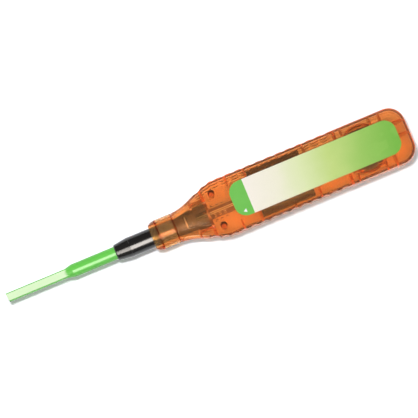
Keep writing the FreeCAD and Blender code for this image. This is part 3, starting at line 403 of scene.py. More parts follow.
def add_bump(
    graph: Graph, shader: bpy.types.Node, height: Socket, distance: float, strength: float
) -> None:
    """Feed a height to the shader's normal.

    Args:
        graph: The material's graph.
        shader: The Principled node.
        height: The height, where 1 is the distance.
        distance: The distance, in metres.
        strength: Share of the bump that shows.
    """
    bump = graph.node("ShaderNodeBump")
    bump.inputs["Strength"].default_value = strength
    bump.inputs["Distance"].default_value = distance
    graph.link(height, bump.inputs["Height"])
    graph.link(bump.outputs["Normal"], shader.inputs["Normal"])


def marked_gloss(graph: Graph, skin: bpy.types.Node, marks: bpy.types.Node) -> Socket:
    """The skin's roughness, rougher where it has marks."""
    return graph.math("ADD", skin.outputs["Gloss"], marks.outputs["Mask"])


def darkened(colour: Colour, share: float) -> Colour:
    """The colour with every channel at this share."""
    return tuple(channel * share for channel in colour)


def set_values(shader: bpy.types.Node, values: dict[str, object]) -> None:
    """Set plain values on a shader's own sockets."""
    for name, value in values.items():
        shader.inputs[name].default_value = value


# ---------------------------------------------------------------- finishes


@dataclass(frozen=True)
class MouldedPlastic:
    """An opaque moulded plastic.

    Attributes:
        name: Material name.
        colour: Main colour.
        shade: The colour that it drifts to.
        roughness: Mean roughness.
        grain: Depth of the surface grain, in metres.
        scuffs: Amount of handling marks.
        scuff_tint: Colour of the marks.
        scuff_share: How much of that colour shows in a mark.
        coat: Clear gloss over the colour.
        coat_roughness: Roughness of that gloss.
    """

    name: str
    colour: Colour
    shade: Colour
    roughness: float = 0.35
    grain: float = 20 * MICRON
    scuffs: float = 0.25
    scuff_tint: Colour = (0.75, 0.75, 0.75)
    scuff_share: float = 0.25
    coat: float = 0.0
    coat_roughness: float = 0.08

    def build(self, effects: Effects) -> Material:
        """Build the material.

        Args:
            effects: The shared node groups.

        Returns:
            The material.
        """
        material, graph, shader, _ = start_material(self.name)
        skin = place_group(graph, effects.skin, Roughness=self.roughness)
        marks = place_group(graph, effects.marks, Amount=self.scuffs)
        colour = graph.mix(graph.spread(skin.outputs["Tone"]), self.colour, self.shade)
        marked = graph.math("MULTIPLY", marks.outputs["Mask"], self.scuff_share)
        graph.link(graph.mix(marked, colour, self.scuff_tint), shader.inputs["Base Color"])
        graph.link(marked_gloss(graph, skin, marks), shader.inputs["Roughness"])
        set_values(shader, {"Coat Weight": self.coat, "Coat Roughness": self.coat_roughness})
        height = graph.math("ADD", skin.outputs["Height"], marks.outputs["Height"])
        add_bump(graph, shader, height, self.grain, strength=0.5)
        return material


@dataclass(frozen=True)
class TubeMoulding:
    """The guide tube: glossy green, with a painted highlight on its square bar, whose upward faces
    are coloured paler.

    Attributes:
        name: Material name.
        bar_end: Where the square bar ends, along X in metres.
        fade: Length over which the painted highlight fades out behind the bar's end.
        upward: How far up a face looks, from where the painted highlight starts to where it is
            full.
        greens: Main colour of the tube and the one that it drifts to.
        painted_highlight_greens: The same for the painted highlight on the bar's upward faces.
        roughness: Mean roughness.
    """

    name: str
    bar_end: float
    fade: float = 2.0 * MM
    upward: tuple[float, float] = (0.8, 0.95)
    greens: tuple[Colour, Colour] = (srgb(112, 214, 86), srgb(102, 206, 78))
    painted_highlight_greens: tuple[Colour, Colour] = (srgb(218, 246, 198), srgb(210, 241, 190))
    roughness: float = 0.34

    def build(self, effects: Effects) -> Material:
        """Build the material.

        Args:
            effects: The shared node groups.

        Returns:
            The material.
        """
        material, graph, shader, _ = start_material(self.name)
        skin = place_group(graph, effects.skin, Roughness=self.roughness)
        marks = place_group(graph, effects.marks, Amount=0.1)
        coordinates = graph.node("ShaderNodeTexCoord").outputs
        station = graph.axes(coordinates["Object"])["X"]
        facing = graph.axes(coordinates["Normal"])["Z"]
        # painted highlight: faces of the square bar that look up are coloured paler, standing in
        # for the light that they mirror
        on_bar = graph.opposite(graph.smooth_step(station, self.bar_end, self.bar_end + self.fade))
        painted_highlight = graph.math("MULTIPLY", on_bar, graph.smooth_step(facing, *self.upward))
        tone = graph.spread(skin.outputs["Tone"])
        colour = graph.mix(painted_highlight, graph.mix(tone, *self.greens), graph.mix(tone, *self.painted_highlight_greens))
        graph.link(colour, shader.inputs["Base Color"])
        graph.link(marked_gloss(graph, skin, marks), shader.inputs["Roughness"])
        add_bump(graph, shader, skin.outputs["Height"], 20 * MICRON, strength=0.5)
        return material


@dataclass(frozen=True)
class ClearPlastic:
    """A tinted see-through moulded plastic, whose colour deepens with its thickness.

    Attributes:
        name: Material name.
        surface: Faint tint of each face.
        depth_colour: Colour that a long way through the plastic tends to.
        density: How fast it gets there, per metre.
        bend: Index of refraction.
        haze: Roughness of the faces.
        cloud: Share of light that the plastic scatters instead of letting through.
        gloss: Weight of the clear gloss on the faces.
        gloss_roughness: Roughness of that gloss.
        mirror: Tint of what the faces mirror.
        rings: Places along X, in metres, where painted shade darkens the rims.
        rim_shade: Colour of that painted shade, standing in for the deeper tint where light crosses
            more plastic.
        rim_reach: How far from its place a rim starts to fade, and where it is gone.
        drift: Darkest share that the tint drifts to.
        lamp_share: Share of lamp light that each face lets through.
    """

    name: str
    surface: Colour
    depth_colour: Colour
    density: float
    bend: float = 1.17
    haze: float = 0.05
    cloud: float = 0.04
    gloss: float = 0.03
    gloss_roughness: float = 0.05
    mirror: Colour = (0.3, 0.25, 0.2)
    rings: tuple[float, ...] = ()
    rim_shade: Colour = (0.62, 0.16, 0.04)
    rim_reach: tuple[float, float] = (0.2 * MM, 0.5 * MM)
    drift: float = 0.96
    lamp_share: Colour = (0.52, 0.62, 0.66)

    def build(self, effects: Effects) -> Material:
        """Build the material.

        Args:
            effects: The shared node groups.

        Returns:
            The material.
        """
        material, graph, shader, output = start_material(self.name)
        skin = place_group(
            graph, effects.skin, Roughness=self.haze, Unevenness=0.05, Grain_Scale=900.0
        )
        marks = place_group(graph, effects.marks, Amount=0.1)
        graph.link(self.tint(graph, skin.outputs["Tone"]), shader.inputs["Base Color"])
        graph.link(marked_gloss(graph, skin, marks), shader.inputs["Roughness"])
        set_values(shader, {
            "Specular Tint": rgba(self.mirror),
            "Transmission Weight": 1.0 - self.cloud,
            "IOR": self.bend,
            "Coat Weight": self.gloss,
            "Coat Roughness": self.gloss_roughness,
        })
        add_bump(graph, shader, skin.outputs["Height"], 10 * MICRON, strength=0.15)
        # light on its way to a lamp goes straight through
        clear = graph.node("ShaderNodeBsdfTransparent")
        clear.inputs["Color"].default_value = rgba(self.lamp_share)
        mixer = graph.node("ShaderNodeMixShader")
        to_lamp = graph.node("ShaderNodeLightPath").outputs["Is Shadow Ray"]
        for source, target in zip((to_lamp, shader.outputs[0], clear.outputs[0]), mixer.inputs):
            graph.link(source, target)
        graph.link(mixer.outputs[0], output.inputs["Surface"])
        inside = graph.node("ShaderNodeVolumeAbsorption")
        set_values(inside, {"Color": rgba(self.depth_colour), "Density": self.density})
        graph.link(inside.outputs[0], output.inputs["Volume"])
        return material

    def tint(self, graph: Graph, tone: Socket) -> Socket:
        """The tint of the faces, with its slight drift and painted shade at its rims.

        Args:
            graph: The material's graph.
            tone: The noise that the tint drifts with.

        Returns:
            The colour.
        """
        colour = graph.mix(graph.spread(tone), self.surface, darkened(self.surface, self.drift))
        # painted shade: narrow darker bands at the rims, standing in for the deeper tint of thicker
        # plastic there
        if self.rings:
            station = graph.axes(graph.place())["X"]
            for ring in self.rings:
                away = graph.math("ABSOLUTE", graph.math("SUBTRACT", station, ring))
                rim = graph.opposite(graph.smooth_step(away, *self.rim_reach))
                colour = graph.mix(rim, colour, self.rim_shade)
        return colour


@dataclass(frozen=True)
class CaseMoulding:
    """The rotor case: a dark polished barrel in front, a matt grey cone behind and painted shade on
    the recessed ring between.

    Attributes:
        name: Material name.
        barrel_end: Where the barrel ends, along X in metres.
        step: Length over which barrel turns to cone.
        groove_at: Middle of the recessed ring, behind the barrel's end.
        groove_reach: Half of the recessed ring's width.
        barrel: Colour of the barrel.
        greys: Colours of the cone.
        groove_shade: Painted shade, a near-black colour laid on the recessed ring.
        roughness: Roughness of the barrel and of the cone.
    """

    name: str
    barrel_end: float
    step: float = 0.4 * MM
    groove_at: float = 0.3 * MM
    groove_reach: float = 0.6 * MM
    barrel: Colour = srgb(46, 37, 30)
    greys: tuple[Colour, Colour] = (srgb(70, 58, 54), srgb(52, 44, 42))
    groove_shade: Colour = srgb(20, 13, 10)
    roughness: tuple[float, float] = (0.22, 0.6)

    def build(self, effects: Effects) -> Material:
        """Build the material.

        Args:
            effects: The shared node groups.

        Returns:
            The material.
        """
        material, graph, shader, _ = start_material(self.name)
        skin = place_group(graph, effects.skin, Roughness=0.0, Unevenness=0.12)
        marks = place_group(graph, effects.marks, Amount=0.2)
        place = graph.place()
        station = graph.axes(place)["X"]
        cone = graph.smooth_step(station, self.barrel_end, self.barrel_end + self.step)
        cloud = graph.spread(graph.noise(place, scale=420.0, detail=4.0, rough=0.65))
        body = graph.mix(cone, self.barrel, graph.mix(cloud, *self.greys))
        # painted shade: a near-black band laid on the recessed ring behind the barrel, standing in
        # for the shadow inside it
        from_groove = graph.math("SUBTRACT", station, self.barrel_end + self.groove_at)
        groove_shade = graph.math("LESS_THAN", graph.math("ABSOLUTE", from_groove), self.groove_reach)
        graph.link(graph.mix(groove_shade, body, self.groove_shade), shader.inputs["Base Color"])
        even = graph.ramp_value(cone, 0.0, 1.0, *self.roughness)
        uneven = marked_gloss(graph, skin, marks)
        graph.link(graph.math("ADD", even, uneven), shader.inputs["Roughness"])
        graph.link(graph.opposite(cone), shader.inputs["Coat Weight"])
        set_values(shader, {"Coat Roughness": 0.12, "Specular IOR Level": 0.8})
        add_bump(graph, shader, skin.outputs["Height"], 20 * MICRON, strength=0.4)
        return material


@dataclass(frozen=True)
class Metal:
    """Ground or drawn steel.

    Attributes:
        name: Material name.
        colour: Main colour.
        roughness: Mean roughness.
        drift: Darkest share that the colour drifts to.
    """

    name: str
    colour: Colour
    roughness: float
    drift: float = 0.8

    def build(self, effects: Effects) -> Material:
        """Build the material.

        Args:
            effects: The shared node groups.

        Returns:
            The material.
        """
        material, graph, shader, _ = start_material(self.name)
        drawn = place_group(graph, effects.metal, Roughness=self.roughness)
        colour = graph.mix(drawn.outputs["Tone"], self.colour, darkened(self.colour, self.drift))
        graph.link(colour, shader.inputs["Base Color"])
        graph.link(drawn.outputs["Gloss"], shader.inputs["Roughness"])
        shader.inputs["Metallic"].default_value = 1.0
        add_bump(graph, shader, drawn.outputs["Height"], 5 * MICRON, strength=0.4)
        return material


@dataclass(frozen=True)
class Yarn:
    """Soft fibre, for the cleaning thread and the felt.

    Attributes:
        name: Material name.
        colour: Main colour.
        shade: Painted shade between the fibres, the colour where the fibre bump is low.
        fibre_scale: Scale of the fibres' noise.
        roughness: Least and greatest roughness.
    """

    name: str
    colour: Colour
    shade: Colour
    fibre_scale: float = 9000.0
    roughness: tuple[float, float] = (0.75, 0.95)

    def build(self, effects: Effects) -> Material:
        """Build the material.

        Args:
            effects: The shared node groups.

        Returns:
            The material.
        """
        material, graph, shader, _ = start_material(self.name)
        place = graph.place()
        fibre = graph.noise(place, self.fibre_scale, detail=4.0, rough=0.7)
        wear = graph.noise(place, scale=300.0, detail=2.0)
        # painted shade: the noise that raises the fibres also colours their low parts darker
        graph.link(graph.mix(fibre, self.shade, self.colour), shader.inputs["Base Color"])
        graph.link(graph.ramp_value(wear, 0.2, 0.8, *self.roughness), shader.inputs["Roughness"])
        shader.inputs["Sheen Weight"].default_value = 0.3
        add_bump(graph, shader, fibre, 50 * MICRON, strength=0.8)
        return material


@dataclass(frozen=True)
class LabelPrint:
    """A film label: a green tab with a plain triangle, then cream that fades to green.

    Attributes:
        name: Material name.
        low: Lowest corner of the label, in metres.
        high: Highest corner of the label.
        tab_length: Length of the green tab.
        tab_greens: Colours of the tab.
        mark: Colour of the triangle.
        mark_base: The triangle's base, from the label's front.
        mark_middle: The triangle's middle line, from the pen's axis.
        mark_height: The triangle's height.
        mark_reach: Half of the triangle's base.
        stops: Places along the label, 0 to 1, and the colours there.
        lean: How far the fade leans, as a share of the length for each metre across.
        wander: How far the fade wanders, as a share of the length.
        patch: Colour of the faint patches at the tail end.
        patch_share: How much of that colour shows.
    """

    name: str
    low: Vector
    high: Vector
    tab_length: float = 8.4 * MM
    tab_greens: tuple[Colour, Colour] = (srgb(104, 190, 78), srgb(122, 200, 92))
    mark: Colour = srgb(250, 250, 245)
    mark_base: float = 5.1 * MM
    mark_middle: float = -6.3 * MM
    mark_height: float = 1.7 * MM
    mark_reach: float = 1.0 * MM
    stops: tuple[tuple[float, Colour], ...] = (
        (0.10, srgb(247, 240, 228)),
        (0.28, srgb(240, 238, 214)),
        (0.42, srgb(222, 233, 180)),
        (0.60, srgb(196, 219, 132)),
        (0.78, srgb(156, 201, 98)),
        (0.97, srgb(122, 187, 72)),
    )
    lean: float = -3.0
    wander: float = 0.12
    patch: Colour = srgb(164, 212, 104)
    patch_share: float = 0.2

    def build(self, effects: Effects) -> Material:
        """Build the material.

        Args:
            effects: The shared node groups.

        Returns:
            The material.
        """
        material, graph, shader, _ = start_material(self.name)
        place = graph.place()
        axes = graph.axes(place)
        along = graph.math("SUBTRACT", axes["X"], self.low.x)
        share = graph.math("DIVIDE", along, self.high.x - self.low.x)
        field_colour = self.patches(graph, place, share, self.fade(graph, place, share, axes["Y"]))
        tab_colour = graph.mix(graph.noise(place, scale=130.0), *self.tab_greens)
        tab = graph.math("LESS_THAN", along, self.tab_length)
        with_tab = graph.mix(tab, field_colour, tab_colour)
        with_mark = graph.mix(self.triangle(graph, along, axes["Y"]), with_tab, self.mark)
        grain = graph.noise(place, scale=2200.0, detail=3.0, rough=0.7)
        speckle = graph.ramp_value(grain, *NOISE_RANGE, to_low=0.965, to_high=1.0)
        tinted = graph.node("ShaderNodeHueSaturation")
        graph.link(with_mark, tinted.inputs["Color"])
        graph.link(speckle, tinted.inputs["Value"])
        graph.link(tinted.outputs["Color"], shader.inputs["Base Color"])
        skin = place_group(graph, effects.skin, Roughness=0.42, Grain_Scale=1800.0)
        graph.link(skin.outputs["Gloss"], shader.inputs["Roughness"])
        shader.inputs["Specular IOR Level"].default_value = 0.08
        add_bump(graph, shader, skin.outputs["Height"], 10 * MICRON, strength=0.35)
        return material

    def fade(self, graph: Graph, place: Socket, share: Socket, across: Socket) -> Socket:
        """The fade from cream to green, which leans and wanders a little.

        Args:
            graph: The material's graph.
            place: The place on the label.
            share: How far along the label, 0 to 1.
            across: Distance from the pen's axis, in metres.

        Returns:
            The colour.
        """
        made = graph.node("ShaderNodeValToRGB")
        first, last = made.color_ramp.elements
        for element, (position, colour) in zip((first, last), (self.stops[0], self.stops[-1])):
            element.position = position
            element.color = rgba(colour)
        for position, colour in self.stops[1:-1]:
            made.color_ramp.elements.new(position).color = rgba(colour)
        leaning = graph.math("MULTIPLY_ADD", across, self.lean, share)
        cloud = graph.noise(place, scale=75.0, detail=2.5)
        offset = graph.math("SUBTRACT", cloud, 0.5)
        graph.link(graph.math("MULTIPLY_ADD", offset, self.wander, leaning), made.inputs[0])
        return made.outputs["Color"]

    def patches(self, graph: Graph, place: Socket, share: Socket, colour: Socket) -> Socket:
        """Faint lighter patches at the tail end.

        Args:
            graph: The material's graph.
            place: The place on the label.
            share: How far along the label, 0 to 1.
            colour: The colour under the patches.

        Returns:
            The colour with patches.
        """
        cloud = graph.noise(place, scale=150.0, detail=1.5, rough=0.4)
        blot = graph.smooth_step(cloud, low=0.5, high=0.62)
        near_end = graph.smooth_step(share, low=0.74, high=0.9)
        amount = graph.math("MULTIPLY", graph.math("MULTIPLY", blot, near_end), self.patch_share)
        return graph.mix(amount, colour, self.patch)

    def triangle(self, graph: Graph, along: Socket, across: Socket) -> Socket:
        """A small plain triangle near one side of the tab, pointing to the nose.

        Args:
            graph: The material's graph.
            along: Distance from the label's front, in metres.
            across: Distance from the pen's axis, in metres.

        Returns:
            1 inside the triangle and 0 outside.
        """
        rise = graph.math("DIVIDE", graph.math("SUBTRACT", self.mark_base, along), self.mark_height)
        from_middle = graph.math("ABSOLUTE", graph.math("SUBTRACT", across, self.mark_middle))
        side = graph.math("DIVIDE", from_middle, self.mark_reach)
        inside = graph.math("LESS_THAN", graph.math("ADD", rise, side), 1.0)
        above = graph.math("GREATER_THAN", rise, 0.0)
        return graph.math("MULTIPLY", inside, above)


@dataclass
class Finishes:
    """Every material of the pen, built once.

    Attributes:
        effects: The shared node groups.
        bar_length: Length of the guide tube's square bar.
        barrel_length: Length of the rotor case's barrel behind the nozzle.
        rear_rim: How far the collar's rear rim lies before its rear end.
    """

    effects: Effects
    bar_length: float = 31.0 * MM
    barrel_length: float = 8.6 * MM
    rear_rim: float = 0.3 * MM
    orange: Material = field(init=False)
    thin_orange: Material = field(init=False)
    green: Material = field(init=False)
    black: Material = field(init=False)
    brown: Material = field(init=False)
    grey: Material = field(init=False)
    amber: Material = field(init=False)
    white: Material = field(init=False)
    case: Material = field(init=False)
    steel: Material = field(init=False)
    wire: Material = field(init=False)
    felt: Material = field(init=False)
    yarn: Material = field(init=False)
    label: Material = field(init=False)

    def __post_init__(self) -> None:
        """Build the materials."""
        self.build_clear()
        self.build_mouldings()
        self.build_others()

    def build_clear(self) -> None:
        """The handle's clear plastic, and the collar's thinner one with painted shade at its rims.
        """
        self.orange = ClearPlastic(
            "orange_moulding",
            surface=(0.87, 0.56, 0.275),
            depth_colour=(0.92, 0.30, 0.05),
            density=90.0,
        ).build(self.effects)
        self.thin_orange = ClearPlastic(
            "collar_moulding",
            surface=(0.97, 0.88, 0.56),
            depth_colour=(0.9, 0.45, 0.0),
            density=300.0,
            gloss=0.05,
            mirror=(0.6, 0.5, 0.4),
            # stations of the painted rim shade: the nozzle's rear end and the collar's rear rim
            rings=(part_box("nozzle")[1].x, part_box("nose_collar")[1].x - self.rear_rim),
        ).build(self.effects)

    def build_mouldings(self) -> None:
        """The opaque plastics."""
        bar_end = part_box("guide_tube")[0].x + self.bar_length
        barrel_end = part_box("nozzle")[1].x + self.barrel_length
        self.green = TubeMoulding("green_moulding", bar_end).build(self.effects)
        self.black = MouldedPlastic(
            "black_moulding",
            srgb(14, 12, 11),
            srgb(20, 17, 16),
            roughness=0.22,
            scuffs=0.1,
            coat=0.25,
        ).build(self.effects)
        self.brown = MouldedPlastic(
            "brown_moulding", srgb(34, 15, 8), srgb(42, 20, 11), roughness=0.5, scuffs=0.05
        ).build(self.effects)
        self.grey = MouldedPlastic(
            "grey_moulding", srgb(118, 104, 96), srgb(104, 92, 86), roughness=0.5
        ).build(self.effects)
        self.amber = MouldedPlastic(
            "amber_moulding", srgb(126, 76, 44), srgb(114, 68, 38), roughness=0.4
        ).build(self.effects)
        self.white = MouldedPlastic(
            "white_moulding", srgb(232, 228, 216), srgb(222, 217, 204), roughness=0.4
        ).build(self.effects)
        self.case = CaseMoulding("case_moulding", barrel_end).build(self.effects)

    def build_others(self) -> None:
        """Steel, fibre and the printed label."""
        self.steel = Metal("ground_steel", (0.62, 0.61, 0.6), roughness=0.22).build(self.effects)
        self.wire = Metal("spring_wire", (0.5, 0.5, 0.51), roughness=0.3).build(self.effects)
        self.felt = Yarn(
            "pressed_felt", srgb(98, 92, 84), srgb(70, 66, 60), fibre_scale=3000.0
        ).build(self.effects)
        self.yarn = Yarn("cleaning_yarn", srgb(252, 244, 216), srgb(226, 202, 158)).build(
            self.effects
        )
        self.label = LabelPrint("label_print", *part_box("front_label")).build(self.effects)


# ---------------------------------------------------------------- mesh helpers


def dress(node: str, material: Material) -> None:
    """Give a CAD node its finish.

    Args:
        node: The node's name.
        material: Its material.
    """
    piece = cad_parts[node]
    piece.data.materials.clear()
    piece.data.materials.append(material)
    LOG.info("dressed %s with %s", node, material.name)


def mesh_object(
    name: str, vertices: list[Vector], faces: list[tuple[int, ...]], material: Material
) -> bpy.types.Object:
    """Make a smooth mesh object.

    Args:
        name: The piece's name.
        vertices: Its points.
        faces: Its faces.
        material: Its material.

    Returns:
        The new object.
    """
    mesh = bpy.data.meshes.new(name)
    mesh.from_pydata(vertices, [], faces)
    mesh.validate()
    mesh.shade_smooth()
    mesh.materials.append(material)
    made = bpy.data.objects.new(name, mesh)
    bpy.context.scene.collection.objects.link(made)
    LOG.info("built %s with %s", name, material.name)
    return made


def frames_along(path: list[Vector]) -> list[tuple[Vector, Vector]]:
    """Two directions across a path at each of its points, which turn as little as they can.

    Args:
        path: The path's points.

    Returns:
        One pair of unit vectors a point.
    """
    pairs = []
    normal = None
    for index in range(len(path)):
        ahead = (path[min(index + 1, len(path) - 1)] - path[max(index - 1, 0)]).normalized()
        normal = ahead.orthogonal() if normal is None else normal - ahead * normal.dot(ahead)
        normal = normal.normalized()
        pairs.append((normal, ahead.cross(normal)))
    return pairs


def round_point(centre: Vector, reach: float, angle: float, height: float) -> Vector:
    """A point at a height on an upright circle's rim."""
    return Vector((centre.x + reach * math.cos(angle), centre.y + reach * math.sin(angle), height))


def on_circle(pair: tuple[Vector, Vector], angle: float) -> Vector:
    """The unit vector at an angle between two directions."""
    return pair[0] * math.cos(angle) + pair[1] * math.sin(angle)


def tube_mesh(
    paths: list[list[Vector]], radius: float, sides: int
) -> tuple[list[Vector], list[tuple[int, ...]]]:
    """Round tubes along lists of points, with flat ends.

    Args:
        paths: One list of points a tube.
        radius: The tubes' radius.
        sides: Corners around a tube.

    Returns:
        Vertices and faces.
    """
    vertices: list[Vector] = []
    faces: list[tuple[int, ...]] = []
    for path in paths:
        base = len(vertices)
        for point, pair in zip(path, frames_along(path)):
            for side in range(sides):
                vertices.append(point + on_circle(pair, 2 * math.pi * side / sides) * radius)
        for ring in range(len(path) - 1):
            low = base + ring * sides
            high = low + sides
            for side in range(sides):
                following = (side + 1) % sides
                faces.append((low + side, low + following, high + following, high + side))
        faces.append(tuple(base + side for side in reversed(range(sides))))
        last = base + (len(path) - 1) * sides
        faces.append(tuple(last + side for side in range(sides)))
    return vertices, faces


def even_points(corners: list[Vector], step: float) -> list[Vector]:
    """Points at an even step along straight runs.

    Args:
        corners: The runs' end points.
        step: Distance between points.

    Returns:
        The points.
    """
    points = []
    for start, end in zip(corners, corners[1:]):
        count = max(int((end - start).length / step), 1)
        points += [start.lerp(end, index / count) for index in range(count)]
    points.append(corners[-1])
    return points


def plied_paths(centre: list[Vector], plies: int, reach: float, lay: float) -> list[list[Vector]]:
    """Paths of the plies of a twisted thread about its centre line.

    Args:
        centre: Points of the centre line.
        plies: How many plies.
        reach: Distance of a ply from the centre line.
        lay: Length of one full twist.

    Returns:
        One path a ply.
    """
    paths: list[list[Vector]] = [[] for _ in range(plies)]
    travelled = 0.0
    before = centre[0]
    for point, pair in zip(centre, frames_along(centre)):
        travelled += (point - before).length
        before = point
        for ply, path in enumerate(paths):
            angle = 2 * math.pi * (travelled / lay + ply / plies)
            path.append(point + on_circle(pair, angle) * reach)
    return paths


# ---------------------------------------------------------------- springs


@dataclass(frozen=True)
class Coil:
    """A round-wire spring along the pen, with closed turns at its ends.

    Attributes:
        name: The piece's name.
        start: Its front end, along X.
        end: Its rear end, along X.
        height: Height of its axis.
        reach: Distance of the wire's middle from the axis.
        wire: Radius of the wire.
        turns: Open turns between the closed ones.
        steps: Points in a turn.
        sides: Corners round the wire.
        closed_pitch: Advance of a closed turn, in wire radii.
    """

    name: str
    start: float
    end: float
    height: float
    reach: float
    wire: float
    turns: int
    steps: int = 24
    sides: int = 10
    closed_pitch: float = 2.05

    def build(self, material: Material) -> bpy.types.Object:
        """Make the spring.

        Args:
            material: The wire's material.

        Returns:
            The spring.
        """
        last = (self.turns + 2) * self.steps
        points = []
        for index in range(last + 1):
            angle = 2 * math.pi * index / self.steps
            points.append(
                Vector((
                    self.start + self.wire + self.advance(index, last),
                    self.reach * math.cos(angle),
                    self.height + self.reach * math.sin(angle),
                ))
            )
        vertices, faces = tube_mesh([points], self.wire, self.sides)
        return mesh_object(self.name, vertices, faces, material)

    def advance(self, index: int, last: int) -> float:
        """How far along the spring a point lies.

        Args:
            index: The point's number.
            last: The last point's number.

        Returns:
            The distance from the middle of the first turn's wire.
        """
        length = self.end - self.start - 2 * self.wire
        flat = self.closed_pitch * self.wire
        if index < self.steps:
            return flat * index / self.steps
        if index > last - self.steps:
            return length - flat * (last - index) / self.steps
        return flat + (length - 2 * flat) * (index - self.steps) / (last - 2 * self.steps)


@dataclass(frozen=True)
class Spring:
    """A coil in place of a plain sleeve.

    Attributes:
        node: The sleeve's node.
        joint: The sliding joint that would shorten it; not used.
        wire: Radius of the wire.
        turns: Open turns.
    """

    node: str
    joint: str
    wire: float
    turns: int

    def build(self, material: Material, body: Body) -> None:
        """Make the spring in place of its sleeve and hang it on its body.

        Args:
            material: The wire's material.
            body: The body that it rides on.
        """
        low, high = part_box(self.node)
        reach = (high.y - low.y) / 2 - self.wire
        height = (low.z + high.z) / 2
        coil = Coil(self.node + "_coil", low.x, high.x, height, reach, self.wire, self.turns)
        piece = coil.build(material)
        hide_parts(self.node)
        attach(piece, body.value)
        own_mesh(piece)


# ---------------------------------------------------------------- sub-assemblies


@dataclass
class Handle:
    """The shells, the collar, the label and what is fixed in them.

    Attributes:
        finishes: The pen's materials.
        steel_nodes: The steel pieces.
        spring: The spring that pushes the nose out again.
    """

    finishes: Finishes
    steel_nodes: tuple[str, ...] = (
        "takeup_axle",
        "supply_axle",
        "axle_clip",
        "guide_bars",
        "thread_guide_pin",
        "groove_peg",
    )
    spring: Spring = Spring("return_spring", "push_slide", wire=0.25 * MM, turns=9)

    def dress(self) -> None:
        """Give the fixed pieces their finishes."""
        dress("upper_shell", self.finishes.orange)
        dress("lower_shell", self.finishes.orange)
        dress("nose_collar", self.finishes.thin_orange)
        dress("front_label", self.finishes.label)
        dress("reel_frame", self.finishes.brown)
        dress("brake_washer", self.finishes.felt)
        for node in self.steel_nodes:
            dress(node, self.finishes.steel)

    def build_spring(self) -> None:
        """Make the return spring."""
        self.spring.build(self.finishes.wire, Body.HOUSING)


@dataclass
class Nose:
    """The sliding nozzle, guide tube, rotor case and tray."""

    finishes: Finishes

    def dress(self) -> None:
        """Give the sliding pieces their finishes."""
        dress("guide_tube", self.finishes.green)
        dress("nozzle", self.finishes.black)
        dress("rotor_case", self.finishes.case)
        dress("rotor_retainer", self.finishes.grey)
        dress("slide_tray", self.finishes.amber)


@dataclass
class Rotor:
    """The turning barrel, the stem and the cleaning head.

    Attributes:
        finishes: The pen's materials.
        spring: The small spring behind the stem's flange.
    """

    finishes: Finishes
    spring: Spring = Spring("head_spring", "head_slide", wire=0.13 * MM, turns=7)

    def dress(self) -> None:
        """Give the turning pieces their finishes."""
        for node in ("rotor", "spring_seat", "head_stem", "cleaning_head"):
            dress(node, self.finishes.white)

    def build_spring(self) -> None:
        """Make the head's spring."""
        self.spring.build(self.finishes.wire, Body.ROTOR)


